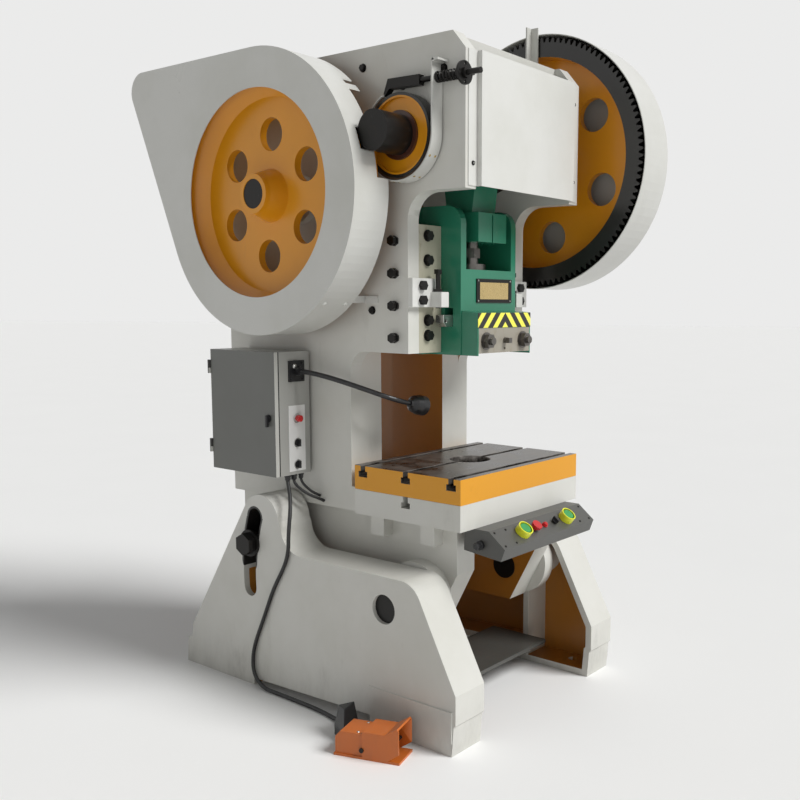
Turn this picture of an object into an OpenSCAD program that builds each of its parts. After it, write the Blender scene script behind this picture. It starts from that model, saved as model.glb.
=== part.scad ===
// Open-back inclinable stamping press: two cast legs, a C-frame that tilts on them,
// a geared crank drive, a guided ram, a bolster and the operator's controls.
// X runs to the operator's right, Y away from the operator, Z up. The origin lies on
// the floor, midway between the four anchor holes.

/* [Press line] */
// Distance of the ram's centre plane in front of the anchor-hole centre
line_back = 365; // [300:5:430]
// Height of the bolster's working face
bolster_top_z = 871; // [800:1:950]
// Height of the crankshaft's axis
crank_z = 1977; // [1900:1:2050]
// Ram stroke
stroke = 120; // [80:5:140]
// Height of the ram's lower face at the top of its stroke
ram_bottom_z = 1262; // [1200:1:1320]

/* [Frame casting] */
// Width over the frame's two side walls
frame_w = 662; // [560:2:760]
// Thickness of a side wall
wall_t = 54; // [30:1:80]
// Height of the frame's top
frame_top_z = 2285; // [2150:5:2400]
// Nose front, ahead of the press line
nose_front = 237; // [200:1:280]
// Height of the nose's underside
nose_z = 1802; // [1700:2:1900]
// Radius under the nose
nose_r = 90; // [40:2:120]
// Chamfer at the top front corner, along Y
top_chamfer_y = 51; // [20:1:80]
// Chamfer at the top front corner, along Z
top_chamfer_z = 59; // [20:1:90]
// Front plane of the guide section, behind the press line
guide_front = 5; // [0:1:20]
// Height of the guide section's underside
guide_z = 1270; // [1200:2:1340]
// Front face of the columns, behind the press line
column_front = 279; // [240:1:320]
// Depth of a column post
post_depth = 270; // [150:5:350]
// Clear width between the column posts
throat_w = 350; // [280:5:420]
// Radius between the column front and the guide section
throat_r = 70; // [30:2:110]
// Rear edge of the frame, behind the press line
frame_rear = 935; // [800:5:1000]
// Top rear chamfer, along Y
rear_chamfer_y = 265; // [150:5:350]
// Top rear chamfer, along Z
rear_chamfer_z = 305; // [150:5:400]
// Thickness of the frame's cross plates
plate_t = 45; // [25:1:70]
// Table slab thickness
table_t = 89; // [60:1:120]
// Width over the lower walls between the legs
lower_w = 570; // [480:2:620]
// Thickness of a lower wall
lower_t = 95; // [50:1:110]
// Front of the lower walls, ahead of the press line
lower_front = 170; // [120:2:220]
// Height where the lower front starts to slope
lower_slope_z = 525; // [450:5:600]
// Underside of the lower walls
lower_z = 300; // [240:5:360]
// Lower rear slope, along Y
lower_rear_y = 175; // [100:5:250]
// Lower rear slope, along Z
lower_rear_z = 220; // [100:5:300]
// Width of a side rib under the table
rib_w = 62; // [40:1:80]
// Height of a side rib under the table
rib_h = 72; // [40:1:100]

/* [Bolster] */
// Bolster width
bolster_w = 710; // [600:5:800]
// Bolster depth
bolster_d = 480; // [400:5:560]
// Bolster thickness
bolster_t = 86; // [60:1:110]
// Distance between the bolster's tee slots
slot_pitch = 200; // [120:5:220]
// Width of a tee slot's neck
tee_neck = 22; // [18:1:32]
// Depth of a tee slot's neck
tee_neck_h = 20; // [12:1:40]
// Width of a tee slot's foot
tee_foot = 40; // [30:1:56]
// Height of a tee slot's foot
tee_foot_h = 20; // [12:1:30]
// Radius of the blanking hole
blank_r = 75; // [40:1:100]

/* [Legs] */
// Width over the outer faces of the legs
legs_w = 980; // [860:5:1100]
// Thickness of a leg, face to face
leg_t = 150; // [100:2:180]
// Wall thickness of a leg casting
leg_wall = 26; // [16:1:40]
// Front end of a leg's foot, ahead of the press line
leg_front = 315; // [260:5:360]
// Rear end of a leg's foot, behind the press line
leg_rear = 1060; // [980:5:1140]
// Height of a leg's level top
leg_top_z = 542; // [480:2:600]
// Height of a leg's rear peak
leg_peak_z = 740; // [660:2:800]
// Centre of the rear peak, behind the press line
peak_y = 592; // [540:2:640]
// Radius of the rear peak
peak_r = 100; // [70:2:130]
// Radius of the front shoulder
shoulder_r = 90; // [50:2:130]
// Height of the foot ledges
ledge_z = 108; // [60:2:160]
// Rise of the arch between the feet at the rear
arch_rear_z = 26; // [10:1:60]
// Rise of the arch between the feet at the front
arch_front_z = 45; // [10:1:80]
// Front end of the rear foot, behind the press line
rear_foot_y = 650; // [560:5:750]
// Rear end of the front foot, behind the press line
front_foot_y = 47; // [0:1:120]
// Height of the pivot's axis
pivot_z = 430; // [380:2:480]
// Pivot's axis ahead of the press line
pivot_front = 22; // [0:1:60]
// Pivot pin radius
pivot_r = 50; // [30:1:60]
// Radius of the pivot boss on the frame
boss_r = 128; // [80:2:140]
// Radius of the incline slot's centre line
incline_r = 682; // [600:2:720]
// Half width of the incline slot
incline_slot_r = 34; // [26:1:40]
// Slot's upper end, degrees above level
incline_top = 18.8; // [14:0.2:24]
// Slot's lower end, degrees below level
incline_low = 4.2; // [2:0.2:10]
// Clamp bolt's place in the slot, degrees above level
incline_bolt = 10.2; // [6:0.2:14]
// Clamp bolt radius
clamp_r = 24; // [16:1:30]
// Radius of an anchor hole
anchor_r = 16; // [10:1:22]
// Distance between the anchor holes across the press
anchor_w = 830; // [700:5:920]
// Distance between the anchor holes front to back
anchor_d = 1130; // [1000:5:1250]
// Tie plate thickness
tie_t = 14; // [8:1:30]
// Tie plate depth
tie_d = 260; // [150:5:400]
// Height of the front tie plate
tie_z = 96; // [70:2:160]
// Front of the front tie plate, ahead of the press line
tie_front = 120; // [60:5:220]

/* [Crank and gears] */
// Tooth module of the gear pair
gear_m = 8; // [8:0.1:8.2]
// Teeth of the large gear
gear_teeth = 115; // [113:1:118]
// Teeth of the pinion
pinion_teeth = 20; // [18:1:22]
// Inboard face of the large gear
gear_x = 404; // [380:2:440]
// Face width of the large gear
gear_w = 126; // [80:2:150]
// Drop of the drive shaft below the crankshaft
drive_drop = 171; // [100:1:220]
// Inner radius of the gear's rim
gear_rim_r = 397; // [360:1:420]
// Radius of the gear's hub
gear_hub_r = 112; // [80:1:140]
// Inset of the gear's web behind its face
gear_web_in = 64; // [20:1:80]
// Thickness of the gear's web
gear_web_t = 28; // [16:1:50]
// Pitch radius of the gear's lightening holes
gear_hole_pcd_r = 280; // [240:1:320]
// Radius of the gear's lightening holes
gear_hole_r = 62; // [30:1:75]
// Crankshaft journal radius
journal_r = 64; // [50:1:75]
// Crank pin radius
pin_r = 72; // [60:1:85]
// Half length of the crank pin
pin_half = 70; // [50:1:90]
// Crank cheek thickness
cheek_t = 34; // [20:1:50]
// Crank cheek radius
cheek_r = 146; // [130:1:160]
// Left end of the crankshaft
crank_end_x = 500; // [460:5:530]
// Radius of the crankshaft inside the gear
gear_seat_r = 55; // [40:1:62]
// Right end of the crankshaft
crank_right_x = 556; // [540:1:570]
// Brake drum radius
drum_r = 134; // [110:1:150]
// Outer face of the brake drum
drum_x = 382; // [376:1:390]
// Brake drum width
drum_w = 44; // [30:1:48]
// Thickness of the brake lining
lining_t = 8; // [5:0.5:12]
// Thickness of the brake band
band_t = 5; // [3:0.5:8]

/* [Flywheel] */
// Flywheel radius
fly_r = 452; // [430:2:460]
// Outer face of the flywheel's rim
fly_x = 536; // [520:1:540]
// Flywheel rim width
fly_w = 126; // [90:2:130]
// Inner radius of the flywheel's rim
fly_rim_r = 386; // [340:2:410]
// Outer face of the flywheel's web
fly_web_x = 478; // [465:1:495]
// Flywheel web thickness
fly_web_t = 28; // [16:1:50]
// Flywheel hub radius
fly_hub_r = 67; // [62:1:80]
// Pitch radius of the flywheel's holes
fly_hole_pcd_r = 207; // [190:1:225]
// Radius of the flywheel hub's foot
fly_foot_r = 92; // [80:1:120]
// Outer radius of the flywheel's web
fly_web_r = 332; // [310:2:370]
// Radius of the flywheel's holes
fly_hole_r = 57; // [35:1:65]
// Drive shaft radius
drive_r = 40; // [30:1:50]
// Radius of the shaft's end disc
end_nut_r = 50; // [44:1:56]
// Depth of a belt groove
groove_h = 15; // [10:1:20]
// Distance between the belt grooves
groove_pitch = 25; // [19:1:30]

/* [Guards and cover] */
// Outer face of the flywheel guard
guard_x = 550; // [546:1:560]
// Depth of the flywheel guard
guard_w = 155; // [120:1:170]
// Radius of the flywheel guard
guard_r = 482; // [470:1:500]
// Radius of the guard's opening
guard_hole_r = 351; // [300:1:400]
// Radius of the guard around the motor pulley
guard_small_r = 70; // [64:1:90]
// Sheet thickness
sheet_t = 3; // [2:0.5:5]
// Radius of the gear guard
gear_guard_r = 480; // [475:1:500]
// Radius of the gear guard around the pinion
pinion_guard_r = 112; // [100:1:140]
// Outer face of the gear guard
gear_guard_x = 574; // [560:1:590]
// Width of the front cover
cover_w = 548; // [480:2:600]
// Front of the cover, ahead of the press line
cover_front = 258; // [250:1:320]
// Height of the cover's lower edge
cover_z = 1811; // [1780:1:1860]
// Height of the cover
cover_h = 415; // [350:5:440]

/* [Motor] */
// Motor axis behind the press line
motor_y = 1136; // [1120:2:1180]
// Height of the motor's axis
motor_z = 2216; // [2180:1:2260]
// Motor body radius
motor_r = 122; // [100:1:140]
// Motor body length
motor_l = 300; // [240:5:360]
// Left end of the motor body
motor_x = 345; // [335:1:360]
// Motor pulley radius
pulley_r = 62; // [50:1:66]
// Motor shaft radius
motor_shaft_r = 19; // [14:1:24]
// Thickness of the motor platform
platform_t = 16; // [10:1:24]

/* [Ram] */
// Ram width
ram_w = 320; // [280:2:360]
// Front of the ram, ahead of the press line
ram_front = 83; // [70:1:110]
// Front of the ram's lower block, ahead of the press line
ram_block_front = 154; // [130:1:180]
// Top of the ram's lower block
ram_block_z = 1415; // [1400:1:1440]
// Top of the ram
ram_top_z = 1772; // [1720:2:1790]
// Floor of the ram's front window
window_z = 1557; // [1530:1:1600]
// Width of the ram's front window
window_w = 262; // [200:2:280]
// Width over the ram's guide wings
wing_w = 400; // [360:2:440]
// Front of the guide wings, behind the press line
wing_front = 58; // [40:1:80]
// Rear of the ram, behind the press line
ram_rear = 112; // [90:1:130]
// Radius of the shank hole
shank_r = 25; // [20:1:30]
// Depth of the shank hole
shank_h = 80; // [60:1:90]
// Width of the die clamp
clamp_w = 300; // [200:2:310]
// Top of the die clamp
clamp_top_z = 1356; // [1340:1:1370]
// Lower edge of the die clamp above the ram's face
clamp_lift = 8; // [2:1:20]
// Knock-out bar length
bar_l = 420; // [380:2:460]
// Knock-out bar height
bar_h = 40; // [30:1:60]
// Knock-out bar thickness
bar_t = 36; // [24:1:44]
// Knock-out bar travel
bar_travel = 22; // [10:1:30]
// Height of the knock-out bar's lower edge at rest
bar_z = 1360; // [1350:1:1380]
// Ball screw radius
screw_r = 27; // [20:1:35]
// Ball cup nut radius
cup_r = 53; // [40:1:65]
// Height of the ball cup nut
cup_h = 22; // [12:1:30]
// Connecting rod width
rod_w = 132; // [100:2:136]
// Front of the connecting rod's clamp lug, ahead of the press line
rod_lug_front = 97; // [80:1:120]
// Width of the clamp lug
rod_lug_w = 162; // [120:2:200]
// Height of the clamp lug's underside
rod_lug_z = 1653; // [1630:1:1690]
// Height of the clamp lug
rod_lug_h = 101; // [70:1:120]
// Wall around the crank pin's opening
rod_wall = 30; // [20:1:45]

/* [Guides] */
// Height of the gibs
gib_h = 433; // [380:1:460]
// Gap between a guide face and the ram
gib_gap = 0.05; // [0.02:0.01:0.1]
// Stop block height
stop_h = 97; // [70:1:120]
// Height of the stop block's underside
stop_z = 1426; // [1410:1:1450]
// Stop block thickness
stop_t = 20; // [12:1:30]
// Width of a stop block
stop_w = 133; // [100:1:150]
// Guide bolt radius
guide_bolt_r = 10; // [6:1:14]
// Height of the lowest side bolt
side_bolt_z = 1322; // [1300:1:1340]
// Distance between side bolts
side_bolt_pitch = 108; // [80:1:120]
// Side bolt line behind the press line
side_bolt_y = 62; // [40:1:90]

/* [Electrics] */
// Outer face of the cabinet
cabinet_x = 507; // [480:1:560]
// Inner face of the cabinet
cabinet_in_x = 345; // [335:1:380]
// Front of the cabinet, behind the press line
cabinet_y = 478; // [440:2:520]
// Cabinet depth, front to back
cabinet_d = 355; // [300:5:400]
// Lower edge of the cabinet
cabinet_z = 818; // [800:1:860]
// Cabinet height
cabinet_h = 446; // [400:2:500]
// Door thickness
door_t = 16; // [8:1:25]
// Radius of a door hinge's knuckle
hinge_r = 6; // [4:0.5:8]
// Length of the control box
box_l = 560; // [400:5:620]
// Depth of the control box
box_d = 122; // [90:2:150]
// Height of the control box
box_h = 78; // [60:1:100]
// Distance between the palm buttons
palm_pitch = 270; // [260:2:320]
// Palm button radius
palm_r = 20; // [15:1:28]
// Cable radius
cable_r = 7; // [4:0.5:10]
// Lamp arm radius
arm_r = 9; // [5:0.5:12]
// Lamp head radius
lamp_r = 36; // [25:1:50]

/* [Foot switch] */
// Foot switch base length
foot_l = 230; // [180:5:280]
// Foot switch base width
foot_w = 104; // [80:2:160]
// Foot switch height
foot_h = 118; // [80:2:150]
// Foot switch turn about the upright
foot_turn = 18; // [0:1:30]
// Foot switch centre, left of the press's middle
foot_x = 618; // [580:2:700]
// Foot switch centre behind the press line
foot_y = -94; // [-150:2:0]

/* [Node] */
// Sub-part to draw

/* [Hidden] */
$fn = 48;
line_y = -line_back;
frame_x = frame_w / 2;
wall_x = frame_x - wall_t;
throat_x = throat_w / 2;
lower_x = lower_w / 2;
leg_x = legs_w / 2;
leg_in_x = leg_x - leg_t;
crank_r = stroke / 2;
drive_z = crank_z - drive_drop;
gear_r = gear_m * gear_teeth / 2;
pinion_pitch_r = gear_m * pinion_teeth / 2;
centre_d = gear_r + pinion_pitch_r;
drive_y = sqrt(pow(centre_d, 2) - pow(drive_drop, 2));
mesh_angle = -asin(drive_drop / centre_d);
bolster_z = bolster_top_z - bolster_t;
table_z = bolster_z - table_t;
ram_x = ram_w / 2;
wing_x = wing_w / 2;
pivot_y = -pivot_front;
run = 0.05;
gap = 0.3;
bush_t = 12;
bar_y = -30;
groove_top = 10;
groove_low = 5;
belt_sink = 6;
trip_y = 146;
trip_z = 1350;
trip_x = frame_x + 32;
trip_h = 102;
trip_r = 8;
stop_lug_h = 52;
band_mid_x = -drum_x + drum_w / 2;
band_top = 218;
band_end = 62;
band_n = 60;
rod_z0 = crank_z + 165;
tension_r = 9;
spring_l = 100;
guard_feet = [[drive_y - 312, drive_z - 367], [drive_y + 338, drive_z - 340]];
platform_drop = 140;
clamp_bolt_x = 108;
clamp_mid_z = ram_bottom_z + 50;
plate_x = 28;
plate_z = 1443;
plate_w = 206;
plate_h = 83;
latch_in = 34;
latch_z = cabinet_z + 210;
strip_x = -408;
switch_heights = [205, 116, 37];
switch_shank_r = 8;
shank_hole_r = switch_shank_r + run;
lamp_z = cabinet_z + 376;
lamp_x = -222;
lamp_y = 110;
lamp_head_z = 1090;
lamp_dip = 12;
lamp_way = [cos(lamp_dip), 0, -sin(lamp_dip)];
slope_y = 66;
slope_h = 52;
cable_route = [
    [-440, 131, 818], [-440, 131, 796], [-444, 122, 774], [-452, 108, 750],
    [-464, 92, 722], [-478, 78, 690], [-491, 69, 650], [-498, 66, 606],
    [-499, 68, 560], [-499, 82, 515], [-499, 107, 470], [-499, 134, 428],
    [-499, 159, 385], [-499, 181, 340], [-499, 202, 295], [-499, 224, 250],
    [-499, 246, 205], [-500, 264, 160], [-500, 275, 115], [-501, 274, 72],
    [-502, 258, 38], [-503, 228, 17], [-504, 190, 8], [-505, 130, 8],
    [-506, 70, 8], [-508, 0, 8], [-511, -70, 8], [-517, -130, 8],
    [-528, -185, 10], [-544, -232, 18], [-563, -275, 28]];

// Point at radius r and angle a from a centre
function polar(c, r, a) = [c[0] + r * cos(a), c[1] + r * sin(a)];
// Points of an arc from angle a0 to a1
function arc(c, r, a0, a1, n = 10) = [for (i = [0:n]) polar(c, r, a0 + (a1 - a0) * i / n)];

// Outline in Y and Z from the press line, carried along X from x0 to x1
module along_x(x0, x1) {
    translate([x0, line_y, 0])
        rotate([90, 0, 90])
            linear_extrude(x1 - x0) children();
}

// Box between limits, Y measured from the press line
module block(x0, x1, y0, y1, z0, z1) {
    translate([x0, line_y + y0, z0])
        cube([x1 - x0, y1 - y0, z1 - z0]);
}

// Round bar along X
module rod_x(x0, x1, r, y, z) {
    translate([x0, line_y + y, z])
        rotate([0, 90, 0])
            cylinder(h = x1 - x0, r = r);
}

// Round bar along Y
module rod_y(y0, y1, r, x, z) {
    translate([x, line_y + y0, z])
        rotate([-90, 0, 0])
            cylinder(h = y1 - y0, r = r);
}

// Round bar along Z
module rod_z(z0, z1, r, x, y) {
    translate([x, line_y + y, z0])
        cylinder(h = z1 - z0, r = r);
}

// The same shape on the left and on the right
module pair() {
    children();
    mirror([1, 0, 0]) children();
}

// Hexagon head bolt standing on the local XY plane, shank below it
module bolt(r, grip, washer = 0) {
    head_w = 1.75 * r;
    if (washer > 0)
        cylinder(h = washer, r = head_w * 1.15);
    translate([0, 0, washer])
        cylinder(h = 1.3 * r, r = head_w, $fn = 6);
    if (grip > 0)
        translate([0, 0, -grip])
            cylinder(h = grip + washer, r = r);
}

// Bolt pointing along +X, head on the left face x
module bolt_from_left(x, y, z, r, grip, washer = 0) {
    translate([x, line_y + y, z])
        rotate([0, -90, 0])
            bolt(r, grip, washer);
}

// Bolt pointing along +Y, head on the front face y
module bolt_from_front(x, y, z, r, grip, washer = 0) {
    translate([x, line_y + y, z])
        rotate([90, 0, 0])
            bolt(r, grip, washer);
}

// Outline of a leg, side view
module leg_outline() {
    foot_in = 8;
    slope_z = 205;
    rear_c = [peak_y, leg_peak_z - peak_r];
    polygon(concat(
        [[-leg_front, 0], [-leg_front - foot_in, ledge_z - foot_in],
         [-leg_front - 2 * foot_in, ledge_z], [-leg_front - 2 * foot_in, slope_z]],
        arc([-shoulder_r - 10, leg_top_z - shoulder_r], shoulder_r, 151, 90, 8),
        arc([peak_y - 2 * peak_r - 7, leg_top_z + peak_r], peak_r, -90, -6, 8),
        arc(rear_c, peak_r, 174, 42, 12),
        [[leg_rear - 40, ledge_z + 52], [leg_rear - 36, ledge_z + 4],
         [leg_rear - 8, ledge_z - foot_in], [leg_rear, 0], [rear_foot_y, 0],
         [rear_foot_y, arch_rear_z], [front_foot_y, arch_front_z], [front_foot_y, 0]]));
}

// Incline slot's outline about the pivot, widened by grow
module slot_outline(grow = 0) {
    c = [pivot_y, pivot_z];
    r = incline_slot_r + grow;
    top = polar(c, incline_r, incline_top);
    low = polar(c, incline_r, -incline_low);
    polygon(concat(
        arc(c, incline_r + r, -incline_low, incline_top, 10),
        arc(top, r, incline_top + 15, incline_top + 165, 10),
        arc(c, incline_r - r, incline_top, -incline_low, 10),
        arc(low, r, 180 - incline_low + 15, 360 - incline_low - 15, 10)));
}

// Leg casting, its outer face to the left: a walled pocket open toward the frame
module leg() {
    rib_t = 24;
    boss = pivot_r + 34;
    difference() {
        along_x(-leg_x, -leg_in_x) leg_outline();
        along_x(-leg_x + leg_wall, -leg_in_x + 1)
            difference() {
                offset(delta = -leg_wall) leg_outline();
                slot_outline(leg_wall);
                translate([pivot_y, pivot_z]) circle(boss);
                translate([pivot_y - rib_t / 2, 0]) square([rib_t, pivot_z]);
                translate([rear_foot_y - rib_t, 0]) square([rib_t, leg_peak_z]);
            }
        along_x(-leg_x - 1, -leg_in_x + 1) slot_outline();
        rod_x(-leg_x - 1, -leg_in_x + 1, pivot_r + run, pivot_y, pivot_z);
        for (s = [-1, 1])
            rod_z(-1, ledge_z, anchor_r, -anchor_w / 2, line_back + s * anchor_d / 2);
    }
    block(-leg_x - 4, -leg_x, -leg_front - 2, front_foot_y, arch_front_z, 150);
}

module leg_left() {
    color("gainsboro") leg();
}

module leg_right() {
    color("gainsboro") mirror([1, 0, 0]) leg();
}

// Plates that tie the two legs together, low in front and behind
module tie_plates() {
    rear_y = rear_foot_y + 60;
    rear_x = leg_x - leg_wall;
    rear_h = 100;
    color("dimgray") {
        block(-leg_in_x, leg_in_x, -tie_front, -tie_front + tie_d, tie_z, tie_z + tie_t);
        block(-rear_x, rear_x, rear_y, rear_y + tie_t, tie_z, tie_z + rear_h);
    }
}

// Pins that carry the frame in the legs
module pivot_pins() {
    recess = 14;
    color([0.1, 0.1, 0.1])
        pair() rod_x(-leg_x + recess, -lower_x + lower_t + 4, pivot_r, pivot_y, pivot_z);
}

// Side view of a frame side wall
module wall_outline() {
    polygon(concat(
        [[-nose_front, nose_z], [-nose_front, frame_top_z - top_chamfer_z],
         [-nose_front + top_chamfer_y, frame_top_z],
         [frame_rear - rear_chamfer_y, frame_top_z],
         [frame_rear, frame_top_z - rear_chamfer_z], [frame_rear, table_z],
         [-lower_front, table_z], [-lower_front, bolster_z], [column_front, bolster_z]],
        arc([column_front - throat_r, guide_z - throat_r], throat_r, 0, 90, 8),
        [[guide_front, guide_z]],
        arc([guide_front - nose_r, nose_z - nose_r], nose_r, 0, 90, 8)));
}

// Side view of a lower wall, between the legs
module lower_outline() {
    front_run = 120;
    polygon([[-lower_front, table_z], [-lower_front, lower_slope_z],
             [-lower_front + front_run, lower_z], [frame_rear - lower_rear_y, lower_z],
             [frame_rear, lower_z + lower_rear_z], [frame_rear, table_z]]);
}

// Tee slot's outline, mouth at the top
module tee_outline() {
    depth = tee_neck_h + tee_foot_h;
    polygon([[-tee_neck / 2, 1], [-tee_neck / 2, -tee_neck_h], [-tee_foot / 2, -tee_neck_h],
             [-tee_foot / 2, -depth], [tee_foot / 2, -depth], [tee_foot / 2, -tee_neck_h],
             [tee_neck / 2, -tee_neck_h], [tee_neck / 2, 1]]);
}

// Places of the side bolts on the left guide wall
module at_side_bolts() {
    for (i = [0:3])
        translate([-frame_x, line_y + side_bolt_y, side_bolt_z + i * side_bolt_pitch])
            rotate([0, -90, 0]) children();
}

module frame_casting() {
    bore_r = journal_r + bush_t;
    back_y = ram_rear + 2;
    color("whitesmoke")
    difference() {
        union() {
            pair() {
                along_x(-frame_x, -wall_x) wall_outline();
                along_x(-lower_x, -lower_x + lower_t) lower_outline();
                block(-wall_x, -throat_x, column_front, column_front + post_depth,
                      table_z, guide_z + plate_t);
                rod_x(-leg_in_x + 2, -lower_x, boss_r, pivot_y, pivot_z);
                for (y = [-lower_front + rib_w, column_front - 2.5 * rib_w])
                    block(-frame_x, -lower_x, y, y + rib_w, table_z - rib_h, table_z);
                rod_x(-wall_x, -wall_x + 40, journal_r + 46, 0, crank_z);
                rod_x(-frame_x - 30, -frame_x, drive_r + 46, drive_y, drive_z);
            }
            rod_x(frame_x, gear_x - 14, journal_r + 46, 0, crank_z);
            block(-bolster_w / 2, bolster_w / 2, -bolster_d / 2, bolster_d / 2,
                  table_z, bolster_z);
            block(-wall_x, wall_x, bolster_d / 2, frame_rear, table_z, table_z + plate_t);
            block(-wall_x, wall_x, back_y, back_y + plate_t, guide_z, ram_top_z);
            block(-wall_x, wall_x, back_y, column_front + post_depth,
                  guide_z, guide_z + plate_t);
            block(-wall_x, wall_x, -nose_front + top_chamfer_y + 20,
                  frame_rear - rear_chamfer_y - 20, frame_top_z - plate_t, frame_top_z);
            block(-lower_x + lower_t, lower_x - lower_t, column_front, column_front + plate_t,
                  lower_z, table_z);
        }
        rod_x(-frame_x - 1, -wall_x + 41, bore_r, 0, crank_z);
        rod_x(wall_x - 41, gear_x, bore_r, 0, crank_z);
        rod_x(-frame_x - 31, frame_x + 31, drive_r + bush_t, drive_y, drive_z);
        rod_x(-leg_in_x, leg_in_x, pivot_r + run, pivot_y, pivot_z);
        rod_z(table_z - 1, bolster_z + 1, blank_r + 25, 0, 0);
        translate([-bolster_w / 2 - 1, line_y, bolster_z])
            rotate([90, 0, 90])
                linear_extrude(bolster_w + 2) tee_outline();
        pair() {
            at_side_bolts() translate([0, 0, -wall_t - 1]) cylinder(h = wall_t + 2, r = guide_bolt_r + run);
            at_clamp_bolt() translate([0, 0, -40]) cylinder(h = 41, r = clamp_r + run);
        }
    }
}

// Place of the clamp bolt on the left lower wall
module at_clamp_bolt() {
    p = polar([pivot_y, pivot_z], incline_r, incline_bolt);
    translate([-lower_x, line_y + p[0], p[1]])
        rotate([0, -90, 0]) children();
}

// Bolts that clamp the frame at its incline, run through the leg slots
module incline_bolts() {
    reach = leg_x - lower_x + gap;
    washer_t = 10;
    color([0.12, 0.12, 0.12])
        pair() at_clamp_bolt() {
            translate([0, 0, reach]) {
                cylinder(h = washer_t, r = 2.1 * clamp_r);
                translate([0, 0, washer_t])
                    cylinder(h = 1.2 * clamp_r, r = 1.75 * clamp_r, $fn = 6);
            }
            translate([0, 0, -38]) cylinder(h = 38 + reach, r = clamp_r);
        }
}

// Bolster plate with three tee slots along X and a blanking hole
module bolster() {
    color("gold")
    difference() {
        block(-bolster_w / 2, bolster_w / 2, -bolster_d / 2, bolster_d / 2,
              bolster_z, bolster_top_z);
        for (i = [-1:1])
            translate([-bolster_w / 2 - 1, line_y + i * slot_pitch, bolster_top_z])
                rotate([90, 0, 90])
                    linear_extrude(bolster_w + 2) tee_outline();
        rod_z(bolster_z - 1, bolster_top_z + 1, blank_r, 0, 0);
    }
}

// Bronze bushes of the crankshaft and the drive shaft
module bushes() {
    flange = 4;
    color("darkgoldenrod") {
        pair() difference() {
            rod_x(-frame_x - flange, -wall_x + 40, journal_r + bush_t, 0, crank_z);
            rod_x(-frame_x - flange - 1, -wall_x + 41, journal_r + run, 0, crank_z);
        }
        pair() difference() {
            rod_x(-frame_x - 30, -wall_x, drive_r + bush_t, drive_y, drive_z);
            rod_x(-frame_x - 31, -wall_x + 1, drive_r + run, drive_y, drive_z);
        }
    }
}

// Guide plate on the left, a stepped jaw that holds the ram's wing
module gib() {
    x_ram = ram_x + gib_gap;
    x_wing = wing_x + gib_gap;
    y_lip = wing_front - gib_gap;
    y_back = ram_rear + gib_gap;
    difference() {
        block(-wall_x, -x_ram, guide_front, y_back, guide_z, guide_z + gib_h);
        block(-x_wing, 0, y_lip, y_back + 1, guide_z - 1, guide_z + gib_h + 1);
    }
}

module gib_left() {
    color("blanchedalmond") gib();
}

module gib_right() {
    color("blanchedalmond") mirror([1, 0, 0]) gib();
}

// Black adjusting bolts on the guide walls, with their locknuts
module guide_side_bolts() {
    nut_h = 9;
    color([0.1, 0.1, 0.1])
        pair() at_side_bolts() {
            cylinder(h = nut_h, r = 1.75 * guide_bolt_r, $fn = 6);
            translate([0, 0, nut_h + 4])
                cylinder(h = 1.2 * guide_bolt_r, r = 1.7 * guide_bolt_r, $fn = 6);
            translate([0, 0, -wall_t])
                cylinder(h = wall_t + nut_h + 5, r = guide_bolt_r);
        }
}

// Bolts that hold the gibs from the front, and those of the motor bracket
module hex_bolts() {
    low = motor_z - platform_drop - 300;
    color("dimgray") {
        pair() for (z = [low, low + 120])
            translate([-frame_x + wall_t / 2, line_y + frame_rear + platform_t, z])
                rotate([-90, 0, 0]) bolt(guide_bolt_r, 0, 3);
        pair() for (z = [guide_z + 60, guide_z + 112, guide_z + gib_h - 118, guide_z + gib_h - 36])
            bolt_from_front(-wall_x + 45, guide_front, z, guide_bolt_r, 0, 3);
    }
}

// Stop blocks for the knock-out bar, each a plate with a lug that carries a screw
module stop_blocks() {
    lug_y = 62;
    color("white")
        pair() difference() {
            union() {
                block(-frame_x, -frame_x + stop_w, guide_front - stop_t, guide_front,
                      stop_z, stop_z + stop_h);
                block(-frame_x + stop_w - 40, -frame_x + stop_w, -lug_y, guide_front - stop_t,
                      stop_z, stop_z + stop_lug_h);
            }
            rod_z(stop_z - 1, stop_z + stop_lug_h + 1, 8 + run, -frame_x + stop_w - 20, bar_y);
        }
}

// Stop screws with their locknuts, and the black bolts of the stop blocks
module stop_screws() {
    x = -frame_x + stop_w - 20;
    tip = bar_z + bar_h + bar_travel + 1;
    lug_top = stop_z + stop_lug_h;
    color([0.15, 0.15, 0.15])
        pair() {
            rod_z(tip, lug_top + 60, 8, x, bar_y);
            translate([x, line_y + bar_y, lug_top]) cylinder(h = 10, r = 15, $fn = 6);
            translate([x - 9, line_y + bar_y - 9, lug_top + 60]) cube([18, 18, 16]);
            for (z = [stop_z + 24, stop_z + stop_h - 24])
                bolt_from_front(-frame_x + 48, guide_front - stop_t, z, guide_bolt_r, 0);
        }
}

// Sheet cover over the crank, held by two flanges
module front_cover() {
    x = cover_w / 2;
    y1 = -nose_front;
    y0 = -cover_front;
    flange = 44;
    color("white") {
        difference() {
            block(-x, x, y0, y1, cover_z, cover_z + cover_h);
            block(-x + sheet_t, x - sheet_t, y0 + sheet_t, y1 + 1,
                  cover_z - 1, cover_z + cover_h - sheet_t);
        }
        pair() {
            block(-x - flange, -x, y1 - sheet_t, y1, cover_z, cover_z + cover_h);
            for (z = [cover_z + 70, cover_z + cover_h - 70])
                rod_y(y1 - sheet_t - 4, y1 - sheet_t, 6, -x - flange / 2, z);
        }
    }
}

// Involute angle at radius r for base radius b
function inv(b, r) = r <= b ? 0 : let (a = acos(b / r)) tan(a) * 180 / PI - a;

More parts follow.
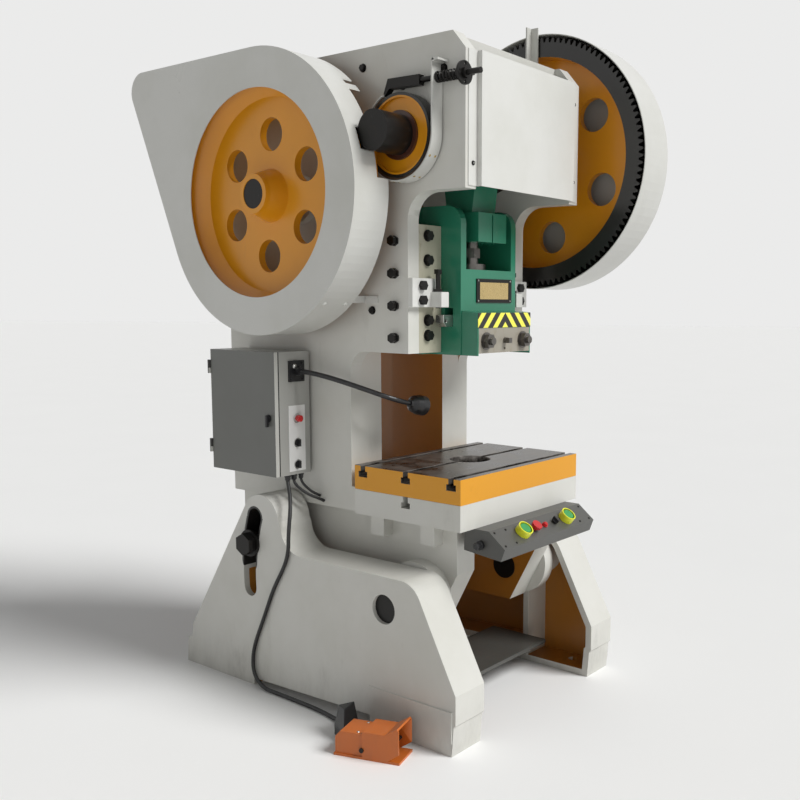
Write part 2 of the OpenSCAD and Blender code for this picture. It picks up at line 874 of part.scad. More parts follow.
// Gear outline with n teeth; the first tooth is centred on angle a0
module gear_outline(n, a0, tip, thin) {
    rp = gear_m * n / 2;
    rb = rp * cos(20);
    ra = rp + tip * gear_m;
    rf = rp - 1.25 * gear_m;
    half = 90 / n - thin / rp * 90 / PI + inv(rb, rp);
    radii = [max(rf, rb), (max(rf, rb) + rp) / 2, rp, (rp + ra) / 2, ra];
    polygon([for (i = [0:n - 1]) let (c = a0 + 360 * i / n) each concat(
        [polar([0, 0], rf, c - half + inv(rb, rf))],
        [for (r = radii) if (r > rf) polar([0, 0], r, c - half + inv(rb, r))],
        [for (k = [len(radii) - 1:-1:0]) if (radii[k] > rf)
            polar([0, 0], radii[k], c + half - inv(rb, radii[k]))],
        [polar([0, 0], rf, c + half - inv(rb, rf))])]);
}

// Large gear: toothed rim, recessed web with six round holes, hub
module main_gear() {
    x1 = gear_x + gear_w;
    web_x = gear_x + gear_web_in;
    color("orange")
    difference() {
        union() {
            along_x(gear_x, x1)
                translate([0, crank_z]) difference() {
                    gear_outline(gear_teeth, mesh_angle + 180 / gear_teeth, 0.9, 0.9);
                    circle(gear_rim_r);
                }
            rod_x(web_x, web_x + gear_web_t, gear_rim_r + 8, 0, crank_z);
            rod_x(gear_x + 12, x1, gear_hub_r, 0, crank_z);
        }
        rod_x(gear_x - 1, x1 + 1, gear_seat_r + run, 0, crank_z);
        for (i = [0:5])
            translate([0, line_y, crank_z]) rotate([22 + 60 * i, 0, 0])
                translate([web_x - 1, gear_hole_pcd_r, 0]) rotate([0, 90, 0])
                    cylinder(h = gear_web_t + 2, r = gear_hole_r);
    }
}

// Drive shaft with its end disc and the pinion
module drive_shaft() {
    color([0.12, 0.12, 0.12]) {
        rod_x(-fly_x, gear_x + gear_w + 8, drive_r, drive_y, drive_z);
        rod_x(-guard_x - 2, -fly_x, end_nut_r, drive_y, drive_z);
        along_x(gear_x - 4, gear_x + gear_w + 4)
            translate([drive_y, drive_z])
                gear_outline(pinion_teeth, mesh_angle + 180, 0.95, 0.5);
    }
}

// Flywheel: grooved rim, recessed web with six round holes, hub
module flywheel() {
    x0 = -fly_x;
    first = (fly_w - 3 * groove_pitch) / 2;
    web_in = fly_x - fly_web_x;
    hub_out = guard_x + 4 - fly_x;
    disc_r = end_nut_r + gap;
    color("orange")
    difference() {
        translate([x0, line_y + drive_y, drive_z]) rotate([0, 90, 0]) rotate_extrude()
            polygon(concat(
                [[drive_r, 0], [disc_r, 0], [disc_r, -hub_out], [fly_hub_r, -hub_out],
                 [fly_hub_r + 4, 0], [fly_foot_r, web_in], [fly_web_r, web_in],
                 [fly_rim_r, 8], [fly_rim_r + 8, 0], [fly_r, 0]],
                [for (i = [0:3]) let (c = first + i * groove_pitch) each
                    [[fly_r, c - groove_top], [fly_r - groove_h, c - groove_low],
                     [fly_r - groove_h, c + groove_low], [fly_r, c + groove_top]]],
                [[fly_r, fly_w], [fly_rim_r + 8, fly_w], [fly_web_r + 20, web_in + fly_web_t],
                 [fly_foot_r, web_in + fly_web_t], [fly_foot_r, fly_w], [drive_r, fly_w]]));
        for (i = [0:5])
            translate([0, line_y + drive_y, drive_z]) rotate([33 + 60 * i, 0, 0])
                translate([-fly_web_x - 1, fly_hole_pcd_r, 0]) rotate([0, 90, 0])
                    cylinder(h = fly_web_t + 2, r = fly_hole_r);
    }
}

// Crankshaft: journals, two cheeks, the pin raised by half the stroke, clutch end
module crankshaft() {
    x_in = pin_half + cheek_t;
    color([0.12, 0.12, 0.12]) {
        rod_x(-crank_end_x, -x_in, journal_r, 0, crank_z);
        rod_x(x_in, gear_x - 6, journal_r, 0, crank_z);
        rod_x(gear_x - 6, crank_right_x - 14, gear_seat_r, 0, crank_z);
        rod_x(crank_right_x - 14, crank_right_x, gear_seat_r + 22, 0, crank_z);
        rod_x(-x_in, -pin_half, cheek_r, 0, crank_z);
        rod_x(pin_half, x_in, cheek_r, 0, crank_z);
        rod_x(-pin_half, pin_half, pin_r, 0, crank_z + crank_r);
    }
}

// Brake drum on the left end of the crankshaft
module brake_drum() {
    web_in = 10;
    color("orange")
    difference() {
        rod_x(-drum_x, -drum_x + drum_w, drum_r, 0, crank_z);
        rod_x(-drum_x - 1, -drum_x + drum_w + 1, journal_r, 0, crank_z);
        difference() {
            rod_x(-drum_x - 1, -drum_x + web_in, drum_r - 16, 0, crank_z);
            rod_x(-drum_x - 2, -drum_x + web_in + 1, journal_r + 14, 0, crank_z);
        }
    }
}

// Side view of the brake band or its lining, between radii r0 and r1
module band_outline(r0, r1) {
    polygon(concat(
        arc([0, 0], r0, band_end, -180, band_n),
        [[-r0, band_top]], [[-r1, band_top]],
        arc([0, 0], r1, -180, band_end, band_n)));
}

// Brake lining round the drum
module brake_lining() {
    r0 = drum_r + gap;
    color("saddlebrown")
        along_x(-drum_x + 2, -drum_x + drum_w - 2)
            translate([0, crank_z]) polygon(concat(
                arc([0, 0], r0, band_end, -180, band_n),
                arc([0, 0], r0 + lining_t, -180, band_end, band_n)));
}

// Brake band: round the drum, then up in front to a bent lip that the rod passes
module brake_band() {
    r0 = drum_r + gap + lining_t;
    color("silver")
    difference() {
        union() {
            along_x(-drum_x - 4, -drum_x + drum_w + 2)
                translate([0, crank_z]) band_outline(r0, r0 + band_t);
            along_x(-drum_x - 4, -drum_x + drum_w + 2)
                translate([0, crank_z])
                    translate([-r0 - 28, band_top - 6]) square([28 - band_t, 6]);
        }
        rod_y(-r0 - 40, -r0 + 10, tension_r + 2, band_mid_x, rod_z0);
    }
}

// Black lug on the band's upper end, bolted to the frame, with the threaded tension rod
module brake_lug() {
    r1 = drum_r + gap + lining_t + band_t;
    end = polar([0, crank_z], r1, band_end);
    eye_y = -60;
    color([0.12, 0.12, 0.12])
    difference() {
        union() {
            along_x(band_mid_x - 12, band_mid_x + 12)
                polygon([[eye_y - 22, rod_z0 - 16], [eye_y - 22, rod_z0 + 16],
                         [end[0] - 16, rod_z0 + 18], [end[0] + 2, end[1] + 8],
                         [end[0] - 2, end[1] - 1], [end[0] - 22, rod_z0 - 14]]);
            rod_x(-frame_x - 30, -frame_x, 14, 22, rod_z0);
        }
        rod_y(eye_y - 30, eye_y + 8, tension_r, band_mid_x, rod_z0);
    }
    color([0.12, 0.12, 0.12])
        rod_y(-320, eye_y + 8, tension_r, band_mid_x, rod_z0);
}

// Dished hand wheel that presses the brake spring
module brake_wheel() {
    y1 = -drum_r - gap - lining_t - band_t - spring_l;
    color([0.12, 0.12, 0.12])
    difference() {
        union() {
            rod_y(y1 - 22, y1, 18, band_mid_x, rod_z0);
            rod_y(y1 - 12, y1 - 4, 36, band_mid_x, rod_z0);
        }
        rod_y(y1 - 23, y1 + 1, tension_r + run, band_mid_x, rod_z0);
        for (a = [0:90:270])
            translate([band_mid_x, 0, rod_z0]) rotate([0, a, 0])
                translate([27, 0, 0]) translate([0, line_y + y1 - 13, 0])
                    rotate([-90, 0, 0]) cylinder(h = 10, r = 6);
    }
}

// Outline of the flywheel guard, shrunk by inset
module guard_outline(inset = 0) {
    c = [drive_y, drive_z];
    s = [motor_y, motor_z];
    r = guard_r - inset;
    q = guard_small_r - inset;
    d = norm(s - c);
    lift = acos((r - q) / d);
    base = atan2(s[1] - c[1], s[0] - c[0]);
    polygon(concat(
        arc(c, r, base + lift, base + 360 - lift, 72),
        arc(s, q, base - lift, base + lift, 18)));
}

// Sheet guard over the flywheel and the motor pulley, open toward the frame
module flywheel_guard() {
    x0 = -guard_x;
    x1 = x0 + guard_w;
    notch_z = drive_z + 322;
    color("gainsboro")
    difference() {
        union() {
            along_x(x0, x0 + sheet_t) difference() {
                guard_outline();
                translate([drive_y, drive_z]) circle(guard_hole_r);
            }
            along_x(x0 + sheet_t, x1) difference() {
                guard_outline();
                guard_outline(sheet_t);
            }
            for (p = guard_feet) {
                block(x1 - 20, -frame_x, p[0], p[0] + 5, p[1], p[1] + 24);
                block(-frame_x - 5, -frame_x, p[0] - 60, p[0] + 5, p[1], p[1] + 24);
            }
        }
        block(x1 - 52, x1 + 1, -30, drive_y - 354, drive_z + 33, notch_z);
        rod_x(-crank_end_x - 8, x1 + 1, journal_r + 8, 0, crank_z);
        block(x1 - 46, x1 + 1, drive_y - 342, drive_y - 318, notch_z + 22, notch_z + 40);
    }
}

// Sheet guard over the large gear and the pinion, open toward the frame
module gear_guard() {
    x0 = gear_x - 4;
    x1 = gear_guard_x;
    strap_z = drive_z - pinion_guard_r - 20;
    color("gainsboro") {
        along_x(x1 - sheet_t, x1) gear_guard_outline(0);
        along_x(x0, x1 - sheet_t) difference() {
            gear_guard_outline(0);
            gear_guard_outline(sheet_t);
        }
        block(frame_x, x0 + 6, 20, 26, frame_top_z - 30, frame_top_z - 4);
        block(x0 - 34, x0, 20, 26, frame_top_z - 30, crank_z + gear_guard_r + 24);
        block(x0 - 6, x0, -10, 20, frame_top_z - 30, crank_z + gear_guard_r + 24);
        block(frame_x, x0 + 6, drive_y - 3, drive_y + 3, strap_z, strap_z + 22);
    }
}

// Outline of the gear guard, shrunk by inset
module gear_guard_outline(inset) {
    c = [0, crank_z];
    s = [drive_y, drive_z];
    r = gear_guard_r - inset;
    q = pinion_guard_r - inset;
    d = norm(s - c);
    lift = acos((r - q) / d);
    base = atan2(s[1] - c[1], s[0] - c[0]);
    polygon(concat(
        arc(c, r, base + lift, base + 360 - lift, 72),
        arc(s, q, base - lift, base + lift, 18)));
}

// Motor with its feet and shaft end plate, on the platform
module motor() {
    x0 = -motor_x;
    x1 = x0 + motor_l;
    foot_z = motor_z - platform_drop;
    color("slategray")
    difference() {
        union() {
            rod_x(x0, x1, motor_r - 8, motor_y, motor_z);
            for (a = [0:15:345])
                translate([0, line_y + motor_y, motor_z]) rotate([a, 0, 0])
                    translate([x0 + 30, -3, 0]) cube([motor_l - 90, 6, motor_r]);
            rod_x(x0 + 8, x0 + 26, motor_r, motor_y, motor_z);
            rod_x(x1 - 56, x1 - 2, motor_r, motor_y, motor_z);
            for (x = [x0 + 40, x1 - 100])
                block(x, x + 44, motor_y - motor_r + 4, motor_y + motor_r - 4,
                      foot_z, foot_z + 16);
            block(x0 + 60, x1 - 76, motor_y - 70, motor_y + 70, foot_z + 8, motor_z);
            block(x0 + 80, x1 - 110, motor_y + 40, motor_y + 110,
                  motor_z + 60, motor_z + motor_r + 30);
        }
        rod_x(x0 - 1, x0 + 40, motor_shaft_r + gap, motor_y, motor_z);
    }
}

// Motor shaft with its grooved belt pulley
module motor_pulley() {
    x0 = -fly_x + (fly_w - 4 * groove_pitch) / 2;
    w = 4 * groove_pitch;
    color("dimgray")
        translate([x0, line_y + motor_y, motor_z]) rotate([0, 90, 0]) rotate_extrude()
            polygon(concat(
                [[0, 0], [pulley_r, 0]],
                [for (i = [0:3]) let (c = (i + 0.5) * groove_pitch) each
                    [[pulley_r, c - groove_top], [pulley_r - groove_h, c - groove_low],
                     [pulley_r - groove_h, c + groove_low], [pulley_r, c + groove_top]]],
                [[pulley_r, w], [motor_shaft_r, w], [motor_shaft_r, -motor_x - x0 + 38],
                 [0, -motor_x - x0 + 38]]));
}

// Four belts between the pulley and the flywheel
module drive_belts() {
    c = [drive_y, drive_z];
    s = [motor_y, motor_z];
    half = groove_low + (groove_top - groove_low) * (groove_h - belt_sink) / groove_h - gap;
    x0 = -fly_x + (fly_w - 3 * groove_pitch) / 2 - half;
    color([0.08, 0.08, 0.08])
        for (i = [0:3])
            along_x(x0 + i * groove_pitch, x0 + i * groove_pitch + 2 * half)
                difference() {
                    belt_outline(c, s, 3);
                    belt_outline(c, s, -belt_sink);
                }
}

// Outline round the flywheel and the pulley, grown past their faces
module belt_outline(c, s, grow) {
    r = fly_r + grow;
    q = pulley_r + grow;
    d = norm(s - c);
    lift = acos((r - q) / d);
    base = atan2(s[1] - c[1], s[0] - c[0]);
    polygon(concat(
        arc(c, r, base + lift, base + 360 - lift, 72),
        arc(s, q, base - lift, base + lift, 18)));
}

// Bracket bolted to the rear of the frame: back plate, platform and three gussets
module motor_bracket() {
    y0 = frame_rear;
    y1 = motor_y + 150;
    top = motor_z - platform_drop;
    low = top - 330;
    x1 = -motor_x + motor_l + 40;
    color("gainsboro") {
        difference() {
            union() {
                block(-frame_x, frame_x, y0, y0 + platform_t, low, frame_top_z - rear_chamfer_z - 12);
                block(-motor_x + 6, x1, y0 + platform_t, y1, top - platform_t, top);
                for (x = [-motor_x + 66, -motor_x + motor_l / 2, x1 - 12])
                    along_x(x, x + 12) polygon([[y0 + platform_t, low + 20],
                        [y0 + platform_t, top - platform_t], [y1 - 20, top - platform_t],
                        [y1 - 20, top - platform_t - 40]]);
                block(-motor_x + 6, x1, y0, y0 + platform_t, low + 200, top);
            }
        }
    }
}

// Side view of the ram's main body
module ram_outline() {
    polygon(concat(
        [[ram_rear, ram_bottom_z], [ram_rear, ram_top_z]],
        [[-ram_front + 60, ram_top_z]],
        arc([-ram_front + 60, ram_top_z - 60], 60, 90, 180, 6),
        [[-ram_front, ram_block_z], [-ram_block_front, ram_block_z - 6],
         [-ram_block_front, ram_bottom_z]]));
}

// Ram: guide wings, front window, shank hole, clamp seat and knock-out slot
module ram() {
    half = bar_t / 2 + gap;
    block_inset = 4;
    color("seagreen")
    difference() {
        union() {
            along_x(-ram_x, ram_x) ram_outline();
            block(-wing_x, wing_x, wing_front, ram_rear, ram_bottom_z, guide_z + gib_h - 4);
        }
        block(-window_w / 2, window_w / 2, -ram_front - 1, ram_rear - 30,
              window_z, ram_top_z + 1);
        rod_z(window_z - 60, window_z + 1, cup_r - 12, 0, 0);
        rod_z(ram_bottom_z - 1, ram_bottom_z + shank_h, shank_r, 0, 0);
        block(-clamp_w / 2 - gap, clamp_w / 2 + gap, -ram_block_front - 1, 0,
              ram_bottom_z - 1, clamp_top_z + gap);
        block(-ram_x - 1, ram_x + 1, bar_y - half, bar_y + half,
              bar_z - gap, bar_z + bar_h + bar_travel + 2);
        pair() block(ram_x - block_inset, ram_x + 1, -ram_block_front - 1, -ram_front,
                     ram_bottom_z - 1, ram_block_z + 1);
    }
}

// Die clamp across the front of the ram, with half of the shank hole
module die_clamp() {
    color("cornsilk")
    difference() {
        block(-clamp_w / 2, clamp_w / 2, -ram_block_front, -gap,
              ram_bottom_z + clamp_lift, clamp_top_z);
        rod_z(ram_bottom_z, clamp_top_z + 1, shank_r, 0, 0);
        for (x = [-1, 1])
            rod_y(-ram_block_front - 1, 1, 13 + run, x * clamp_bolt_x, clamp_mid_z);
        rod_y(-ram_block_front - 1, -shank_r, 10 + run, 0, clamp_mid_z);
        rod_y(-ram_block_front - 1, -ram_block_front + 30, 5, 0, ram_bottom_z + 22);
    }
}

// Studs and nuts of the die clamp, and its set screw
module clamp_nuts() {
    y0 = -ram_block_front;
    color([0.25, 0.22, 0.2]) {
        for (x = [-1, 1]) {
            rod_y(y0 - 34, -gap, 13, x * clamp_bolt_x, clamp_mid_z);
            bolt_from_front(x * clamp_bolt_x, y0, clamp_mid_z, 15, 0, 3);
        }
        rod_y(y0 - 12, -shank_r - 2, 10, 0, clamp_mid_z);
        translate([-9, line_y + y0 - 26, clamp_mid_z - 9]) cube([18, 14, 18]);
    }
}

// Knock-out bar through the ram, its lower outer corners chamfered
module knockout_bar() {
    h = bar_l / 2;
    c = 14;
    color([0.2, 0.2, 0.2])
        translate([0, line_y + bar_y + bar_t / 2, bar_z]) rotate([90, 0, 0])
            linear_extrude(bar_t) difference() {
                polygon([[-h + c, 0], [h - c, 0], [h, c], [h, bar_h], [-h, bar_h], [-h, c]]);
                for (x = [-1, 1]) translate([x * (h - 12), bar_h / 2]) circle(5);
            }
}

// Outline of the opening that clears the crank pin over the stroke, seen from the rod
function pin_path(a) = [crank_r * sin(a), crank_r * cos(a) - crank_r + stroke * a / 180];
function pin_side(a) = let (dx = crank_r * cos(a), dz = stroke / PI - crank_r * sin(a))
    atan2(dx, -dz);
module pin_opening(grow = 0) {
    r = pin_r + gap + grow;
    polygon(concat(
        [for (a = concat([for (i = [0:5:60]) i], [for (i = [62.5:2.5:117.5]) i], [for (i = [120:5:180]) i]))
            polar(pin_path(a), r, pin_side(a))],
        [for (a = [10:10:110]) polar([0, 0], r, pin_side(180) - a)]));
}

// Connecting rod: big end open one side for the pin, shank, split clamp lug
module connecting_rod() {
    top = crank_z + crank_r;
    x = rod_w / 2;
    color("seagreen")
    difference() {
        union() {
            along_x(-x, x) translate([0, top]) pin_opening(rod_wall);
            along_x(-x, x) polygon([[-56, rod_lug_z + rod_lug_h - 1], [56, rod_lug_z + rod_lug_h - 1],
                [84, top - pin_r], [-84, top - pin_r]]);
            block(-rod_lug_w / 2, rod_lug_w / 2, -rod_lug_front, 60,
                  rod_lug_z, rod_lug_z + rod_lug_h);
        }
        along_x(-x - 1, x + 1) translate([0, top]) pin_opening();
        rod_z(rod_lug_z - 1, rod_lug_z + rod_lug_h + 60, screw_r + run, 0, 0);
        block(-3, 3, -rod_lug_front - 1, -screw_r + 4, rod_lug_z - 1, rod_lug_z + rod_lug_h - 6);
    }
}

// Ball screw between the rod and the ram, with its hexagon and cup nut
module ball_screw() {
    color("silver") {
        rod_z(window_z + cup_h, rod_lug_z + rod_lug_h + 40, screw_r, 0, 0);
        translate([0, line_y, window_z + cup_h + 22])
            cylinder(h = 34, r = screw_r + 6, $fn = 6);
        rod_z(window_z, window_z + cup_h, cup_r, 0, 0);
    }
}

// Black frame of the blank brass plate on the ram
module plate_frame() {
    y0 = -ram_front;
    color([0.1, 0.1, 0.1])
    difference() {
        block(plate_x - plate_w / 2, plate_x + plate_w / 2, y0 - 4, y0,
              plate_z, plate_z + plate_h);
        block(plate_x - plate_w / 2 + 18, plate_x + plate_w / 2 - 18, y0 - 5, y0 - 1,
              plate_z + 12, plate_z + plate_h - 12);
    }
}

// Blank brass plate
module brass_plate() {
    y0 = -ram_front;
    color("peru")
        block(plate_x - plate_w / 2 + 18, plate_x + plate_w / 2 - 18, y0 - 3, y0 - 1,
              plate_z + 12, plate_z + plate_h - 12);
}

// Cabinet shell, open to the left, with its mounting plate and frame brackets
module cabinet_box() {
    x0 = -cabinet_x + door_t + gap;
    x1 = -cabinet_in_x;
    y0 = cabinet_y;
    y1 = cabinet_y + cabinet_d;
    z1 = cabinet_z + cabinet_h;
    t = 2;
    color("lightgray") {
        difference() {
            block(x0, x1, y0, y1, cabinet_z, z1);
            block(x0 - 1, x1 - t, y0 + t, y1 - t, cabinet_z + t, z1 - t);
            for (z = switch_heights)
                rod_y(y0 - 1, y0 + t + 1, shank_hole_r, strip_x, cabinet_z + z);
        }
        block(x1 - t - 22, x1 - t - 19, y0 + 20, y1 - 20, cabinet_z + 20, z1 - 20);
        for (y = [y0 + 40, y1 - 60], z = [cabinet_z + 40, z1 - 60])
            block(x1 - t - 19, x1 - t, y, y + 14, z, z + 14);
        for (z = [cabinet_z + 30, z1 - 70])
            block(x1, -frame_x, y0 + 30, y1 - 30, z, z + 40);
        for (z = [cabinet_z + 60, z1 - 90])
            rod_z(z + 20, z + 50, hinge_r, -cabinet_x - 2, y1 + hinge_r + gap);
        for (z = [cabinet_z + 60, z1 - 90])
            block(-cabinet_x - 2, x0 + 30, y1 + 0, y1 + 2, z + 20, z + 50);
    }
}

// Cabinet door with a folded rim
module cabinet_door() {
    x0 = -cabinet_x;
    y0 = cabinet_y;
    y1 = cabinet_y + cabinet_d;
    z1 = cabinet_z + cabinet_h;
    t = 2;
    color("darkgray") {
        difference() {
            block(x0, x0 + door_t, y0, y1, cabinet_z, z1);
            block(x0 + t, x0 + door_t + 1, y0 + t, y1 - t, cabinet_z + t, z1 - t);
            rod_x(x0 - 1, x0 + t + 1, 9 + run, y0 + latch_in, latch_z);
        }
        for (z = [cabinet_z + 60, z1 - 90]) {
            rod_z(z, z + 20 - gap, hinge_r, x0 - 2, y1 + hinge_r + gap);
            block(x0 - 2, x0 + 8, y1, y1 + 2, z, z + 20 - gap);
        }
    }
}

// Door latch: round barrel on a rounded plate, with a short turning bar
module door_latch() {
    x0 = -cabinet_x;
    color([0.1, 0.1, 0.1]) {
        rod_x(x0 - 2, x0 + 26, 9, cabinet_y + latch_in, latch_z);
        rod_x(x0 - 4, x0 - 2, 14, cabinet_y + latch_in, latch_z);
        block(x0 - 14, x0 - 4, cabinet_y + latch_in - 4, cabinet_y + latch_in + 4,
              latch_z - 30, latch_z + 12);
        block(x0 + 22, x0 + 26, cabinet_y + latch_in - 26, cabinet_y + latch_in + 8,
              latch_z - 8, latch_z + 8);
    }
}

// Pale switch strip and lamp flange on the cabinet's front
module switch_strip() {
    y = cabinet_y;
    color("white") {
        difference() {
            block(strip_x - 38, strip_x + 38, y - 2, y, cabinet_z + 12, cabinet_z + 252);
            for (z = switch_heights)
                rod_y(y - 3, y + 1, shank_hole_r, strip_x, cabinet_z + z);
        }
    }
}

// Tube of radius r along a path of points, n flats round it
module tube(path, r, n = 12) {
    last = len(path) - 1;
    dir = [for (i = [0:last]) let (v = path[min(i + 1, last)] - path[max(i - 1, 0)]) v / norm(v)];
    side_v = [for (d = dir) let (v = cross(d, [0.3, 0.2, 0.93])) v / norm(v)];
    pts = [for (i = [0:last]) let (w = cross(dir[i], side_v[i]))
        for (k = [0:n - 1]) path[i] + r * (cos(360 * k / n) * side_v[i] + sin(360 * k / n) * w)];
    polyhedron(pts, concat(
        [[for (k = [0:n - 1]) k]],
        [for (i = [0:last - 1], k = [0:n - 1])
            [i * n + k, (i + 1) * n + k, (i + 1) * n + (k + 1) % n, i * n + (k + 1) % n]],
        [[for (k = [n - 1:-1:0]) last * n + k]]), convexity = 4);
}

// Point of a smooth curve through four control points
function curve(a, b, c, d, t) = pow(1 - t, 3) * a + 3 * t * pow(1 - t, 2) * b
    + 3 * t * t * (1 - t) * c + t * t * t * d;

// Bendable lamp arm on its black square flange
module lamp_arm() {
    a = [strip_x, line_y + cabinet_y - 26, lamp_z];
    d = [lamp_x, line_y + lamp_y, lamp_head_z];
    y = cabinet_y;
    color([0.08, 0.08, 0.08]) {
        tube(concat([for (i = [0:14]) curve(a, a + [20, -150, -8], d - 130 * lamp_way, d, i / 14)],
                    [d + 6 * lamp_way, d + 12 * lamp_way]), arm_r, 12);
        block(strip_x - 36, strip_x + 36, y - 6, y, lamp_z - 38, lamp_z + 38);
        for (sx = [-1, 1], sz = [-1, 1])
            rod_y(y - 9, y - 6, 5, strip_x + sx * 27, lamp_z + sz * 29);
        rod_y(y - 28, y - 6, 16, strip_x, lamp_z);
    }
}

// Bell-shaped lamp head
module lamp_head() {
    color([0.15, 0.16, 0.16])
        translate([lamp_x, line_y + lamp_y, lamp_head_z] + (12 + gap) * lamp_way)
            rotate([0, 90 + lamp_dip, 0])
            rotate_extrude() polygon([[0, 0], [14, 0], [16, 8], [lamp_r - 6, 22], [lamp_r, 46],
                [lamp_r, 74], [lamp_r - 3, 74], [lamp_r - 3, 50], [0, 44]]);
}

// Red push button and two black selectors of the switch strip
module stop_button() {
    y = cabinet_y;
    color("red") {
        rod_y(y - 22, y - 8, 12, strip_x, cabinet_z + switch_heights[0]);
        rod_y(y - 8, y + 20, switch_shank_r, strip_x, cabinet_z + switch_heights[0]);
    }
}

module selector(i) {
    y = cabinet_y;
    z = cabinet_z + switch_heights[i];
    color([0.08, 0.08, 0.08]) {
        rod_y(y - 8, y - 2, 13, strip_x, z);
        rod_y(y - 2, y + 20, switch_shank_r, strip_x, z);
        block(strip_x - 4, strip_x + 4, y - 18, y - 8, z - 13, z + 13);
    }
}

module selector_upper() {
    selector(1);
}

module selector_lower() {
    selector(2);
}

// Side view of the control box under the table front
module control_outline() {
    polygon([[-bolster_d / 2 + 44, table_z], [-bolster_d / 2 - 60, table_z],
             [-bolster_d / 2 - 60 - slope_y, table_z - slope_h],
             [-bolster_d / 2 - box_d + 12, table_z - box_h - 16],
             [-bolster_d / 2 + 44, table_z - box_h]]);
}

// Places things on the sloping face of the control box, x along it
module on_slope(x) {
    translate([x, line_y - bolster_d / 2 - 60 - slope_y / 2, table_z - slope_h / 2])
        rotate([atan2(slope_h, slope_y), 0, 0]) children();
}

// Two-hand control box
module control_box() {
    color("dimgray")
    difference() {
        along_x(-box_l / 2, box_l / 2) control_outline();
        for (x = [-palm_pitch / 2, palm_pitch / 2]) on_slope(x)
            translate([0, 0, -40]) cylinder(h = 41, r = 12 + run);
        for (x = [-62, 62]) on_slope(x) translate([0, 0, -40]) cylinder(h = 41, r = 9 + run);
    }
}

// Yellow collars of the palm buttons, and the black gland and bolts on the box's end
module palm_collars() {
    color("yellow")
        for (x = [-palm_pitch / 2, palm_pitch / 2]) on_slope(x)
            difference() {
                cylinder(h = 26, r = palm_r + 8);
                translate([0, 0, 6]) cylinder(h = 21, r = palm_r + 4);
                translate([0, 0, -1]) cylinder(h = 8, r = 12 + run);
            }
}

module palm_button(x) {
    color("limegreen") on_slope(x) {
        translate([0, 0, -30]) cylinder(h = 44, r = 12);
        translate([0, 0, 14]) cylinder(h = 10, r = palm_r);
    }
}

module palm_button_left() {
    palm_button(-palm_pitch / 2);
}

module palm_button_right() {
    palm_button(palm_pitch / 2);
}

// Red mushroom button beside the left palm button
module mushroom_button() {
    color("crimson") on_slope(-62) {
        translate([0, 0, -30]) cylinder(h = 42, r = 9);
        translate([0, 0, 12]) cylinder(h = 10, r = 19);
    }
}

// Key selector beside the right palm button
module mode_selector() {
    color([0.15, 0.15, 0.2]) on_slope(62) {
        translate([0, 0, -30]) cylinder(h = 36, r = 9);
        translate([0, 0, 6]) cylinder(h = 4, r = 13);
        translate([-4, -13, 10]) cube([8, 26, 10]);
    }
}

// Trip box on the right wall, under the gear
module trip_box() {
    half = 50;
    color("white")
    difference() {
        block(frame_x, 2 * trip_x - frame_x, trip_y - half, trip_y + half,
              trip_z, trip_z + trip_h);
        rod_z(trip_z + half, trip_z + trip_h + 1, trip_r + run, trip_x, trip_y);
    }
}

// Pull rod of the clutch trip
module trip_rod() {
    color("silver") {
        rod_z(trip_z + 60, trip_z + 370, trip_r, trip_x, trip_y);
        rod_z(trip_z + 350, trip_z + 362, 14, trip_x, trip_y);
    }
}

// Places things in the foot switch's own frame, its front toward -Y
module in_foot() {
    translate([-foot_x, line_y + foot_y, 0]) rotate([0, 0, foot_turn]) children();
}

// Foot switch casting: base plate, rear body and the guard over the treadle
module foot_base() {
    w = foot_w / 2;
    l = foot_l / 2;
    color([0.8, 0.35, 0.1])
    in_foot() difference() {
        union() {
            translate([-w, -l, 0]) cube([foot_w, foot_l, 8]);
            translate([-w + 4, 12, 0]) rotate([90, 0, 90]) linear_extrude(foot_w - 8)
                polygon([[0, 8], [l - 16, 8], [l - 16, 62], [l - 34, 82], [0, 82]]);
            for (x = [-w, w - 4])
                translate([x, 0, 0]) rotate([90, 0, 90]) linear_extrude(4)
                    polygon([[14, 8], [14, 92], [-l + 50, 92], [-l + 8, foot_h],
                             [-l + 2, foot_h - 8], [-l + 2, 34], [-l + 40, 8]]);
            translate([-w, 0, 0]) rotate([90, 0, 90]) linear_extrude(foot_w)
                polygon([[14, 92], [-l + 50, 92], [-l + 8, foot_h], [-l + 4, foot_h - 5],
                         [-l + 48, 87], [14, 87]]);
        }
        translate([-w + 7.7, 8, 8.3]) cube([foot_w - 15.4, 16, 40]);
    }
}

// Plan of the cable box behind the foot switch, shrunk by inset
module cable_box_plan(inset) {
    y = foot_l / 2 + gap;
    offset(delta = -inset)
        polygon([[20, y], [79, y + 68], [139, y + 16], [125, y]]);
}

// Black cable box that stands behind the foot switch, its sides drawn in at the top
module foot_cable_box() {
    color([0.1, 0.1, 0.1])
    in_foot() {
        linear_extrude(34) cable_box_plan(0);
        hull() {
            translate([0, 0, 34]) linear_extrude(1) cable_box_plan(0);
            translate([0, 0, 106]) linear_extrude(1) cable_box_plan(12);
        }
    }
}

// Foot treadle inside the guard
module foot_treadle() {
    w = foot_w / 2 - 10;
    color([0.15, 0.15, 0.15])
    in_foot() {
        translate([-w, 0, 0]) rotate([90, 0, 90]) linear_extrude(2 * w)
            polygon([[20, 24], [20, 36], [-80, 54], [-84, 47], [-40, 34], [10, 24]]);
        translate([-w - 2, 16, 30]) rotate([0, 90, 0]) cylinder(h = 2 * w + 4, r = 5);
    }
}

// Cable from the cabinet over the leg and along the floor to the foot switch
module foot_cable() {
    color([0.06, 0.06, 0.06]) tube(cable_route, cable_r, 10);
}

